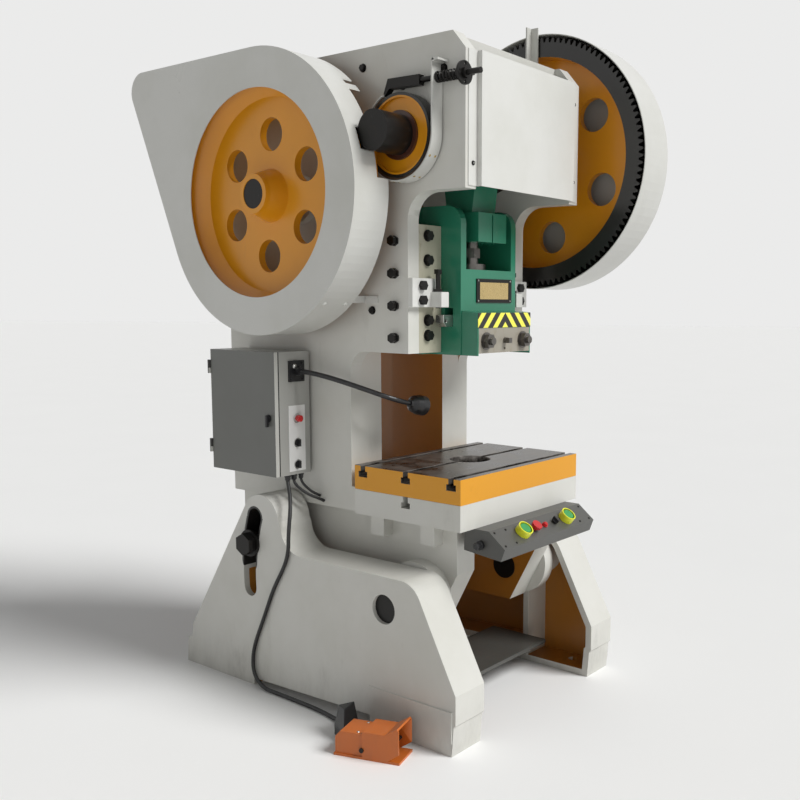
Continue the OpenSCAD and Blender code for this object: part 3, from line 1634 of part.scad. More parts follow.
// Every sub-part in its own place
leg_left();
leg_right();
tie_plates();
pivot_pins();
frame_casting();
incline_bolts();
bolster();
bushes();
gib_left();
gib_right();
guide_side_bolts();
hex_bolts();
stop_blocks();
stop_screws();
front_cover();
main_gear();
drive_shaft();
flywheel();
crankshaft();
brake_drum();
brake_lining();
brake_band();
brake_lug();
brake_wheel();
flywheel_guard();
gear_guard();
motor();
motor_pulley();
drive_belts();
motor_bracket();
ram();
die_clamp();
clamp_nuts();
knockout_bar();
connecting_rod();
ball_screw();
plate_frame();
brass_plate();
cabinet_box();
cabinet_door();
door_latch();
switch_strip();
lamp_arm();
lamp_head();
stop_button();
selector_upper();
selector_lower();
control_box();
palm_collars();
palm_button_left();
palm_button_right();
mushroom_button();
mode_selector();
trip_box();
trip_rod();
foot_base();
foot_treadle();
foot_cable_box();
foot_cable();
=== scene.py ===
"""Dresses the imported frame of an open-back inclinable stamping press.

The solids keep their shape and place. This script gives each of them its finish,
rounds the edges of the castings, and adds the springs, fasteners, fittings and
cables that the solids leave out. Lengths are in metres in the frame's own axes:
X to the operator's right, Y away from the operator, Z up from the floor.
"""

import logging
import math
from dataclasses import dataclass, field
from enum import Enum
from typing import Any, Sequence

import bmesh
import bpy
from mathutils import Matrix, Vector


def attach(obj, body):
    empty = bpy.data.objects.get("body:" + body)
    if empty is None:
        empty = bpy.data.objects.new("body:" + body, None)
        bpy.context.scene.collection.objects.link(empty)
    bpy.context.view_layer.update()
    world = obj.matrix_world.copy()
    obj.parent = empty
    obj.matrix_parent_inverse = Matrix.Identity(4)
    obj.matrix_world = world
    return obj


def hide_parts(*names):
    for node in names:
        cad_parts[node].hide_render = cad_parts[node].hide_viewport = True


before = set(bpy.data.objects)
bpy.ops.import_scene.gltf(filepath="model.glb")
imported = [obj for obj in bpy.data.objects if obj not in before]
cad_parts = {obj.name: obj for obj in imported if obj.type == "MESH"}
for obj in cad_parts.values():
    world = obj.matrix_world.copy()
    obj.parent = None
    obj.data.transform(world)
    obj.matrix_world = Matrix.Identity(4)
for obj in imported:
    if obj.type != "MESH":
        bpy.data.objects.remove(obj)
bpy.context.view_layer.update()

LOG = logging.getLogger("press")
Colour = tuple[float, float, float]
Point = tuple[float, float, float]
Profile = Sequence[tuple[float, float]]
Pairs = Sequence[tuple[float, float]]
Seats = Sequence[tuple[Point, Point]]

PRESS_LINE = -0.365
FLOOR_Z = 0.0
CRANK_Z = 1.977
WALL_X = 0.331
DRIVE_AXIS = (0.1472, 1.806)
GUARD_RADIUS = 0.4818
BAND_RADIUS = 0.1472
ROUND_ANGLE = math.radians(40)
INCLINE_PIVOT = (-0.387, 0.43)
SLOT_TRACK = 0.682
SLOT_HALF = 0.0425
SLOT_ENDS = ((0.2932, 0.4799), (0.2586, 0.6498))
LAMP_DIP = math.radians(12)
LAMP_NECK = (-0.222, -0.255, 1.090)
PANEL_SLOPE = math.atan2(52, 66)
PANEL_CENTRE = (0.0, PRESS_LINE - 0.333, 0.670)

TO_LEFT = (-1.0, 0.0, 0.0)
TO_RIGHT = (1.0, 0.0, 0.0)
TO_FRONT = (0.0, -1.0, 0.0)
TO_BACK = (0.0, 1.0, 0.0)
UP = (0.0, 0.0, 1.0)
DOWN = (0.0, 0.0, -1.0)
WASHER = 0.002

# Where other colours begin and end on painted pieces; pairs are low and high, the centre is Y and Z
INSIDE_HALF = 0.2775
INSIDE_TOP = 1.30
GUIDE_REACH = (0.2765, 0.3285)
GUIDE_HEIGHT = (1.272, 1.70)
GUIDE_FRONT = -0.368
POCKET_REACH = (0.3405, 0.4655)
POCKET_CENTRE = (0.02, 0.30)
POCKET_LIP = 0.02
POCKET_TOP = 0.5
SLOT_FRONT = 0.2
SLOT_ZONE = (0.44, 0.70)
TRACK_HEIGHT = (0.48, 0.65)
TEETH_FROM = 0.397
RIM_FROM = 0.124
# Inside this radius the drum is painted dark orange: painted shade of the hole round the shaft.
HUB_SHADE_TO = 0.078
# Left of this X the box is painted black: painted shadow of the gap between door and box.
GAP_SHADE_X = -0.4862


# Shader maths


class Term:
    """One value in a shader sum; operators add Math nodes."""

    def __init__(self, graph: "Graph", socket: bpy.types.NodeSocket) -> None:
        """Wraps an output socket of a graph."""
        self.graph = graph
        self.socket = socket

    def _math(self, operation: str, first: Any, second: Any = 0.0) -> "Term":
        """Adds one Math node.

        Args:
            operation: Blender's name of the operation.
            first: Left term or number.
            second: Right term or number.

        Returns:
            The node's value.
        """
        made = self.graph.add("ShaderNodeMath", {"operation": operation}, {0: first, 1: second})
        return made[0]

    def __add__(self, other: Any) -> "Term":
        """Sum."""
        return self._math("ADD", self, other)

    def __radd__(self, other: Any) -> "Term":
        """Sum with a number on the left."""
        return self._math("ADD", other, self)

    def __sub__(self, other: Any) -> "Term":
        """Difference."""
        return self._math("SUBTRACT", self, other)

    def __rsub__(self, other: Any) -> "Term":
        """Difference from a number."""
        return self._math("SUBTRACT", other, self)

    def __mul__(self, other: Any) -> "Term":
        """Product."""
        return self._math("MULTIPLY", self, other)

    def __rmul__(self, other: Any) -> "Term":
        """Product with a number on the left."""
        return self._math("MULTIPLY", other, self)

    def __truediv__(self, other: Any) -> "Term":
        """Quotient."""
        return self._math("DIVIDE", self, other)

    def __gt__(self, other: Any) -> "Term":
        """1 where this is greater, else 0."""
        return self._math("GREATER_THAN", self, other)

    def __lt__(self, other: Any) -> "Term":
        """1 where this is less, else 0."""
        return self._math("LESS_THAN", self, other)

    def within(self, low: float, high: float) -> "Term":
        """1 between two limits, else 0."""
        return (self > low) * (self < high)

    def __abs__(self) -> "Term":
        """Size without its sign."""
        return self._math("ABSOLUTE", self)

    def root(self) -> "Term":
        """Square root."""
        return self._math("SQRT", self)

    def fraction(self) -> "Term":
        """Part after the point."""
        return self._math("FRACT", self)


class Made:
    """A node that was added, read by output name or number."""

    def __init__(self, graph: "Graph", node: bpy.types.Node) -> None:
        """Keeps the node with its graph."""
        self.graph = graph
        self.node = node

    def __getitem__(self, key: int | str) -> Term:
        """Output socket as a term."""
        return Term(self.graph, self.node.outputs[key])


class Graph:
    """Node tree of one material."""

    def __init__(self, name: str) -> None:
        """Makes an empty material and reads its place and facing.

        Args:
            name: Name of the material.
        """
        self.material = bpy.data.materials.new(name)
        self.material.use_nodes = True
        self.tree = self.material.node_tree
        self.tree.nodes.clear()
        self.place = self.add("ShaderNodeTexCoord")
        self.point = self.place["Object"]
        axes = self.add("ShaderNodeSeparateXYZ", None, {0: self.point})
        self.x, self.y, self.z = axes["X"], axes["Y"], axes["Z"]
        facing = self.add("ShaderNodeSeparateXYZ", None, {0: self.place["Normal"]})
        self.nx, self.ny, self.nz = facing["X"], facing["Y"], facing["Z"]

    def add(
        self,
        kind: str,
        settings: dict[str, Any] | None = None,
        sockets: dict[int | str, Any] | None = None,
    ) -> Made:
        """Adds one node.

        Args:
            kind: Type name of the node.
            settings: Its own properties; "stops" holds a ramp's positions and colours.
            sockets: Value or term of each input, by name or number.

        Returns:
            The node, ready to read.
        """
        node = self.tree.nodes.new(kind)
        for key, value in (settings or {}).items():
            if key != "stops":
                setattr(node, key, value)
                continue
            ramp = node.color_ramp.elements
            while len(ramp) < len(value):
                ramp.new(0.5)
            for element, (position, shade) in zip(ramp, value):
                element.position = position
                element.color = (*shade, 1.0)
        for key, value in (sockets or {}).items():
            if isinstance(value, Term):
                self.tree.links.new(value.socket, node.inputs[key])
            else:
                node.inputs[key].default_value = value
        return Made(self, node)

    def mix(self, factor: Any, first: Any, second: Any) -> Term:
        """Colour between two.

        Args:
            factor: Share of the second, from 0 to 1.
            first: Colour at 0.
            second: Colour at 1.

        Returns:
            The mixed colour.
        """
        first = (*first, 1.0) if isinstance(first, tuple) else first
        second = (*second, 1.0) if isinstance(second, tuple) else second
        made = self.add("ShaderNodeMix", {"data_type": "RGBA"}, {0: factor, 6: first, 7: second})
        return made[2]

    def tint(self, factor: Any, colour: Any, shade: Colour) -> Term:
        """Colour multiplied by a shade.

        Args:
            factor: Strength of the shade, from 0 to 1.
            colour: Colour that is shaded.
            shade: Colour that it is multiplied by.

        Returns:
            The shaded colour.
        """
        colour = (*colour, 1.0) if isinstance(colour, tuple) else colour
        settings = {"data_type": "RGBA", "blend_type": "MULTIPLY"}
        return self.add("ShaderNodeMix", settings, {0: factor, 6: colour, 7: (*shade, 1.0)})[2]

    def away(self, y: float, z: float) -> Term:
        """Distance from a line that runs along X."""
        across, height = self.y - y, self.z - z
        return (across * across + height * height).root()

    def noise(
        self, scale: float, detail: float = 3.0, rough: float = 0.55, squeeze: Point = (1.0, 1.0, 1.0)
    ) -> Term:
        """Noise on the object's own coordinates.

        Args:
            scale: Features to a metre, roughly.
            detail: Octaves.
            rough: Weight of the finer octaves.
            squeeze: Stretch of the coordinates along each axis.

        Returns:
            The noise, from 0 to 1.
        """
        vector = self.add("ShaderNodeMapping", None, {"Vector": self.point, "Scale": squeeze})["Vector"]
        sockets = {"Vector": vector, "Scale": scale, "Detail": detail, "Roughness": rough}
        return self.add("ShaderNodeTexNoise", None, sockets)["Fac"]

    def ease(self, value: Term, low: float, high: float) -> Term:
        """Smooth step of a value, 0 at low and 1 at high."""
        sockets = {"Value": value, "From Min": low, "From Max": high}
        return self.add("ShaderNodeMapRange", {"interpolation_type": "SMOOTHSTEP"}, sockets)["Result"]

    def bump(self, height: Term, strength: float, distance: float) -> Term:
        """Normal from a height."""
        sockets = {"Height": height, "Strength": strength, "Distance": distance}
        return self.add("ShaderNodeBump", None, sockets)["Normal"]

    def finish(self, **sockets: Any) -> bpy.types.Material:
        """Adds the surface shader.

        Args:
            sockets: Its inputs, with underscores for the spaces in their names.

        Returns:
            The finished material.
        """
        named = {key.replace("_", " "): value for key, value in sockets.items()}
        shader = self.add("ShaderNodeBsdfPrincipled", None, named)
        self.add("ShaderNodeOutputMaterial", None, {"Surface": shader["BSDF"]})
        return self.material


# Finishes


class Region(Enum):
    """Where another colour of an enamel lies."""

    FRAME_INSIDE = "frame inside"
    GUIDE_FACE = "guide face"
    LEG_POCKET = "leg pocket"
    LEG_SLOT = "leg slot"
    GEAR_TEETH = "gear teeth"
    DRUM_RIM = "drum rim"
    DRUM_HUB = "drum hub"
    DOOR_EDGE = "door edge"
    DOOR_SEAL = "door seal"

    def mask(self, graph: Graph) -> Term:
        """Mask of the region.

        Args:
            graph: Tree that the mask is added to.

        Returns:
            A term that is 1 inside the region.
        """
        wide = abs(graph.x)
        if self is Region.FRAME_INSIDE:
            return (wide < INSIDE_HALF) * (graph.z < INSIDE_TOP) * (graph.ny > -0.5) * (graph.nz < 0.5)
        if self is Region.GUIDE_FACE:
            across = wide.within(*GUIDE_REACH) * (graph.ny < -0.9)
            return across * (graph.y < GUIDE_FRONT) * graph.z.within(*GUIDE_HEIGHT)
        if self is Region.LEG_POCKET:
            depth = wide.within(*POCKET_REACH)
            web = abs(graph.nx) > 0.9
            y, z = POCKET_CENTRE
            inward = (graph.ny * (graph.y - y) + graph.nz * (graph.z - z)) < -POCKET_LIP
            below = (graph.nz < 0.05) + (graph.z < POCKET_TOP)
            slot = (graph.x < 0.0) * (graph.y > SLOT_FRONT) * graph.z.within(*SLOT_ZONE)
            return (depth * (web + inward * (below > 0.5)) * (1.0 - slot)) > 0.5
        if self is Region.LEG_SLOT:
            arc = abs(graph.away(*INCLINE_PIVOT) - SLOT_TRACK) < SLOT_HALF
            track = arc * graph.z.within(*TRACK_HEIGHT)
            low, high = (graph.away(*end) < SLOT_HALF for end in SLOT_ENDS)
            ends = low + high
            return ((track + ends) > 0.5) * (graph.y > SLOT_FRONT)
        if self is Region.GEAR_TEETH:
            return graph.away(PRESS_LINE, CRANK_Z) > TEETH_FROM
        if self is Region.DRUM_RIM:
            return graph.away(PRESS_LINE, CRANK_Z) > RIM_FROM
        # Dark orange ring round the shaft: painted shade of the hole it turns in.
        if self is Region.DRUM_HUB:
            return graph.away(PRESS_LINE, CRANK_Z) < HUB_SHADE_TO
        # Faces of the door that look to the front: painted highlight, where the light falls.
        if self is Region.DOOR_EDGE:
            return graph.ny < -0.5
        # Strip of the box beside the door: painted shadow of the gap between them.
        return graph.x < GAP_SHADE_X


@dataclass(frozen=True)
class Enamel:
    """Sprayed enamel over a filled casting or over sheet.

    Args:
        name: Name of the material.
        colour: Paint, linear.
        areas: Regions with a colour of their own; some are painted highlight or painted shade.
        roughness: Middle roughness.
        waves: Depth of the slow waviness of filled castings.
        peel: Strength of the fine orange peel.
        soil: Share of grime in the low places and near the floor.
    """

    name: str
    colour: Colour
    areas: tuple[tuple[Region, Colour], ...] = ()
    roughness: float = 0.36
    waves: float = 0.0
    peel: float = 0.12
    soil: float = 0.25

    def build(self) -> bpy.types.Material:
        """Makes the material.

        Returns:
            The finished material.
        """
        graph = Graph(self.name)
        base: Any = self.colour
        for region, paint in self.areas:
            base = graph.mix(region.mask(graph), base, paint)
        cloud = graph.noise(3.1, 4.0, 0.6)
        tone = graph.tint(graph.ease(cloud, 0.35, 0.75), base, (0.92, 0.92, 0.90))
        smear = graph.noise(9.0, 6.0, 0.7, (1.0, 1.0, 0.35))
        low = 1.0 - graph.ease(graph.z, 0.0, 0.22)
        grime = graph.ease(smear, 0.58, 0.8) * self.soil + low * graph.ease(smear, 0.35, 0.7) * 0.35
        soot = graph.mix(grime * 0.55, tone, (0.11, 0.095, 0.075))
        fleck = graph.ease(graph.noise(120.0, 2.0, 0.5), 0.72, 0.80) * 0.10
        shade = graph.mix(fleck, soot, (0.16, 0.15, 0.13))
        rough = self.roughness + (cloud - 0.5) * 0.12 + grime * 0.25
        height = graph.noise(420.0, 2.0, 0.5) * self.peel + graph.noise(26.0, 3.0, 0.5) * (0.5 + self.waves)
        normal = graph.bump(height, 0.10, 0.003)
        coat = {"Coat_Weight": 0.12, "Coat_Roughness": 0.18}
        return graph.finish(Base_Color=shade, Roughness=rough, Normal=normal, **coat)


@dataclass(frozen=True)
class Steel:
    """Turned, blackened or oiled steel.

    Args:
        name: Name of the material.
        colour: Metal, linear.
        roughness: Middle roughness.
        metallic: 1 for bare metal, less under a scale or oil film.
        wear: Share of bright rubbed places.
    """

    name: str
    colour: Colour
    roughness: float = 0.38
    metallic: float = 1.0
    wear: float = 0.2

    def build(self) -> bpy.types.Material:
        """Makes the material.

        Returns:
            The finished material.
        """
        graph = Graph(self.name)
        cloud = graph.noise(24.0, 5.0, 0.65)
        lines = graph.noise(210.0, 2.0, 0.5, (1.0, 1.0, 0.06))
        bright = tuple(min(1.0, 2.6 * part + 0.04) for part in self.colour)
        rubbed = graph.ease(cloud, 0.62, 0.78) * self.wear
        shade = graph.mix(rubbed, self.colour, bright)
        oiled = graph.mix(graph.ease(graph.noise(55.0, 3.0), 0.55, 0.8) * 0.35, shade, (0.035, 0.028, 0.02))
        rough = self.roughness + (cloud - 0.5) * 0.25 + (lines - 0.5) * 0.12
        normal = graph.bump(lines + graph.noise(340.0, 2.0) * 0.6, 0.12, 0.0015)
        return graph.finish(Base_Color=oiled, Roughness=rough, Metallic=self.metallic, Normal=normal)


@dataclass(frozen=True)
class Moulded:
    """Moulded plastic, rubber or lining.

    Args:
        name: Name of the material.
        colour: Stuff, linear.
        roughness: Middle roughness.
        grain: Features of the grain to a metre.
        depth: Strength of the grain.
    """

    name: str
    colour: Colour
    roughness: float = 0.45
    grain: float = 900.0
    depth: float = 0.10

    def build(self) -> bpy.types.Material:
        """Makes the material.

        Returns:
            The finished material.
        """
        graph = Graph(self.name)
        cloud = graph.noise(30.0, 4.0, 0.6)
        worn = tuple(min(1.0, 1.25 * part + 0.012) for part in self.colour)
        shade = graph.mix(graph.ease(cloud, 0.4, 0.75) * 0.6, self.colour, worn)
        rough = self.roughness + (cloud - 0.5) * 0.16
        normal = graph.bump(graph.noise(self.grain, 2.0, 0.5), self.depth, 0.001)
        return graph.finish(Base_Color=shade, Roughness=rough, Normal=normal)


@dataclass(frozen=True)
class BolsterFinish:
    """Painted edges and a dark greased working face with ground marks.

    Args:
        name: Name of the material.
        paint: Paint of the edges, linear.
        grease: Dark grease on the face, linear.
        half_width: Distance from the middle along X past which it is painted.
        half_depth: Distance from the middle along Y past which it is painted.
    """

    name: str
    paint: Colour
    grease: Colour = (0.045, 0.038, 0.032)
    half_width: float = 0.3546
    half_depth: float = 0.2396

    def build(self) -> bpy.types.Material:
        """Makes the material.

        Returns:
            The finished material.
        """
        graph = Graph(self.name)
        side = (abs(graph.x) > self.half_width) + (abs(graph.y - PRESS_LINE) > self.half_depth)
        bare = 1.0 - (side > 0.5)
        cloud = graph.noise(14.0, 6.0, 0.7, (1.0, 0.6, 1.0))
        marks = graph.noise(160.0, 3.0, 0.6, (0.05, 1.0, 1.0))
        oil = graph.ease(cloud, 0.38, 0.62)
        metal = graph.mix(oil, (0.20, 0.185, 0.17), self.grease)
        brushed = graph.mix(graph.ease(marks, 0.5, 0.8) * 0.35, metal, (0.30, 0.28, 0.26))
        soil = graph.ease(graph.noise(8.0, 5.0, 0.7), 0.58, 0.8) * 0.3
        paint = graph.mix(soil, self.paint, tuple(0.6 * part for part in self.paint))
        shade = graph.mix(bare, paint, brushed)
        rough = 0.38 + bare * (0.03 - oil * 0.14) + (marks - 0.5) * bare * 0.2
        normal = graph.bump(marks * bare + graph.noise(300.0, 2.0) * 0.3, 0.15, 0.0015)
        return graph.finish(Base_Color=shade, Roughness=rough, Metallic=bare * 0.75, Normal=normal)


@dataclass(frozen=True)
class ScrapedCast:
    """Scraped cast iron under old oil and thin cream paint.

    Args:
        name: Name of the material.
        colour: Thin paint, linear.
    """

    name: str
    colour: Colour

    def build(self) -> bpy.types.Material:
        """Makes the material.

        Returns:
            The finished material.
        """
        graph = Graph(self.name)
        cloud = graph.noise(16.0, 6.0, 0.7)
        streak = graph.noise(42.0, 5.0, 0.7, (1.0, 1.0, 0.25))
        oiled = graph.ease(streak, 0.52, 0.75) * 0.65
        stain = graph.mix(oiled, self.colour, (0.21, 0.165, 0.09))
        shade = graph.tint(graph.ease(cloud, 0.6, 0.75) * 0.6, stain, (0.45, 0.42, 0.38))
        normal = graph.bump(streak + graph.noise(240.0, 3.0) * 0.5, 0.22, 0.002)
        return graph.finish(Base_Color=shade, Roughness=0.34 + cloud * 0.2, Normal=normal, Coat_Weight=0.25)


@dataclass(frozen=True)
class Stripes:
    """Diagonal hazard stripes, mirrored about the press's middle.

    Args:
        name: Name of the material.
        pitch: Length of one dark and one light stripe along X.
        top: Height at which the two middle stripes meet.
        light: Light colour, linear.
        dark: Dark colour, linear.
    """

    name: str
    pitch: float = 0.055
    top: float = 1.409
    light: Colour = (0.86, 0.83, 0.10)
    dark: Colour = (0.012, 0.012, 0.012)

    def build(self) -> bpy.types.Material:
        """Makes the material.

        Returns:
            The finished material.
        """
        graph = Graph(self.name)
        wave = ((abs(graph.x) + (graph.z - self.top) * 0.9) / self.pitch).fraction()
        band = graph.ease(wave, 0.46, 0.49)
        rubbed = graph.ease(graph.noise(85.0, 4.0, 0.7), 0.62, 0.8) * 0.35
        shade = graph.mix(rubbed, graph.mix(band, self.light, self.dark), (0.42, 0.40, 0.30))
        normal = graph.bump(graph.noise(500.0, 2.0), 0.06, 0.001)
        return graph.finish(Base_Color=shade, Roughness=0.42 + rubbed * 0.4, Normal=normal)


@dataclass(frozen=True)
class Glow:
    """Clear lens of a lamp.

    Args:
        name: Name of the material.
        colour: Lens, linear.
    """

    name: str
    colour: Colour

    def build(self) -> bpy.types.Material:
        """Makes the material.

        Returns:
            The finished material.
        """
        graph = Graph(self.name)
        shadow = tuple(0.6 * part for part in self.colour)
        deep = graph.mix(graph.noise(260.0, 2.0) * 0.4, self.colour, shadow)
        return graph.finish(Base_Color=deep, Roughness=0.16, Coat_Weight=0.6)


GREASE = (0.013, 0.012, 0.011)
INSIDE = (0.42, 0.165, 0.018)
CREAM = (0.62, 0.615, 0.575)
ORANGE = (0.70, 0.285, 0.007)
FRAME_AREAS = ((Region.FRAME_INSIDE, INSIDE), (Region.GUIDE_FACE, (0.13, 0.12, 0.09)))
LEG_AREAS = ((Region.LEG_POCKET, INSIDE), (Region.LEG_SLOT, GREASE))
# The drum's rim is greased black; the dark ring round the shaft is painted shade of its hole.
DRUM_AREAS = ((Region.DRUM_RIM, GREASE), (Region.DRUM_HUB, (0.06, 0.02, 0.012)))
# The door's front edge is painted paler than the door: a painted highlight on the side that faces the light.
DOOR_LIGHT_AREAS = ((Region.DOOR_EDGE, (0.52, 0.52, 0.49)),)
# Black strip on the box beside the door: painted shadow of the gap between door and box.
BOX_SHADE_AREAS = ((Region.DOOR_SEAL, GREASE),)


class Paint(Enum):
    """Every finish of the press."""

    PRESS = Enamel("press_paint", CREAM, waves=0.9)
    FRAME = Enamel("frame_paint", CREAM, FRAME_AREAS, waves=0.9)
    LEG = Enamel("leg_paint", CREAM, LEG_AREAS, waves=1.1, soil=0.35)
    SHEET = Enamel("sheet_paint", (0.60, 0.60, 0.57), waves=0.2, peel=0.06, roughness=0.30, soil=0.12)
    COVER = Enamel("cover_paint", (0.66, 0.66, 0.63), waves=0.2, peel=0.06, roughness=0.30, soil=0.12)
    WHEEL = Enamel("wheel_paint", ORANGE, roughness=0.30, waves=0.4, soil=0.3)
    GEAR = Enamel("gear_paint", ORANGE, ((Region.GEAR_TEETH, GREASE),), roughness=0.30, soil=0.3)
    DRUM = Enamel("drum_paint", ORANGE, DRUM_AREAS, roughness=0.30, soil=0.3)
    BAND = Enamel("band_paint", (0.60, 0.60, 0.57), roughness=0.32, waves=0.2, soil=0.5)
    RAM = Enamel("ram_paint", (0.022, 0.19, 0.11), roughness=0.24, waves=0.7, soil=0.2)
    # The door is painted a darker grey than the box beside it: painted shade, for its side away from the
    # light.
    CABINET = Enamel("cabinet_paint", (0.135, 0.138, 0.128), DOOR_LIGHT_AREAS, roughness=0.42, peel=0.3, soil=0.1)
    CABINET_FRONT = Enamel("cabinet_front", (0.36, 0.36, 0.34), BOX_SHADE_AREAS, 0.42, peel=0.3, soil=0.1)
    STRIP = Enamel("strip_paint", (0.72, 0.72, 0.71), roughness=0.34, peel=0.1, soil=0.05)
    CONTROL = Enamel("control_paint", (0.070, 0.070, 0.064), roughness=0.42, peel=0.3, soil=0.3)
    FOOT = Enamel("foot_paint", (0.56, 0.135, 0.015), roughness=0.36, waves=0.6, soil=0.45)
    MOTOR = Enamel("motor_paint", (0.055, 0.095, 0.135), roughness=0.38, waves=0.3, soil=0.3)
    BOLSTER = BolsterFinish("bolster_paint", (0.69, 0.30, 0.005))
    GIB = ScrapedCast("cast_gib", (0.42, 0.40, 0.31))
    CLAMP = ScrapedCast("clamp_cast", (0.30, 0.275, 0.225))
    BLACK_STEEL = Steel("black_steel", (0.022, 0.021, 0.020), 0.36, 0.75, 0.35)
    BRIGHT_STEEL = Steel("bright_steel", (0.45, 0.45, 0.43), 0.30, 1.0, 0.3)
    OILED_STEEL = Steel("oiled_steel", (0.16, 0.15, 0.14), 0.34, 1.0, 0.4)
    BRONZE = Steel("bronze", (0.40, 0.24, 0.08), 0.34, 1.0, 0.2)
    BRASS = Steel("brass_sheet", (0.62, 0.47, 0.22), 0.26, 1.0, 0.1)
    LINING = Moulded("friction_lining", (0.075, 0.040, 0.020), 0.72, 400.0, 0.35)
    BELT = Moulded("belt_rubber", (0.012, 0.012, 0.012), 0.6, 500.0, 0.2)
    BLACK_PLASTIC = Moulded("black_plastic", (0.010, 0.010, 0.011), 0.34)
    YELLOW = Moulded("yellow_plastic", (0.72, 0.75, 0.03), 0.28)
    GREEN = Moulded("green_plastic", (0.03, 0.30, 0.07), 0.24)
    RED = Moulded("red_plastic", (0.50, 0.012, 0.014), 0.24)
    SHEATH = Moulded("cable_sheath", (0.010, 0.010, 0.010), 0.5, 700.0, 0.15)
    STRIPES = Stripes("hazard_stripes")
    LENS = Glow("lamp_lens", (0.10, 0.13, 0.13))

    def material(self) -> bpy.types.Material:
        """Looks the material up, and makes it the first time.

        Returns:
            The material.
        """
        found = bpy.data.materials.get(self.value.name + ".made")
        if found is None:
            found = self.value.build()
            found.name = self.value.name + ".made"
        return found


# Meshes


def put(name: str, data: bpy.types.ID) -> bpy.types.Object:
    """Sets data into the scene as an object at the origin.

    Args:
        name: Name of the object.
        data: Its mesh, lamp or camera.

    Returns:
        The object.
    """
    made = bpy.data.objects.new(name, data)
    bpy.context.scene.collection.objects.link(made)
    return made


def round_edges(made: bpy.types.Object, width: float) -> bpy.types.Modifier:
    """Rounds the sharp edges of an object by a modifier.

    Args:
        made: The object.
        width: Width of the rounding.

    Returns:
        The modifier.
    """
    rounding = made.modifiers.new("Rounding", "BEVEL")
    rounding.width = width
    rounding.segments = 2
    rounding.limit_method = "ANGLE"
    rounding.angle_limit = ROUND_ANGLE
    return rounding


def circle(centre: Point, u: Vector, v: Vector, radius: float, sides: int) -> list[Vector]:
    """Points of a circle.

    Args:
        centre: Its middle.
        u: Unit vector of its plane, where it starts.
        v: Unit vector of its plane, square to u.
        radius: Its radius.
        sides: Number of points.

    Returns:
        The points, in order.
    """
    turn = [2 * math.pi * k / sides for k in range(sides)]
    return [Vector(centre) + radius * (math.cos(a) * u + math.sin(a) * v) for a in turn]


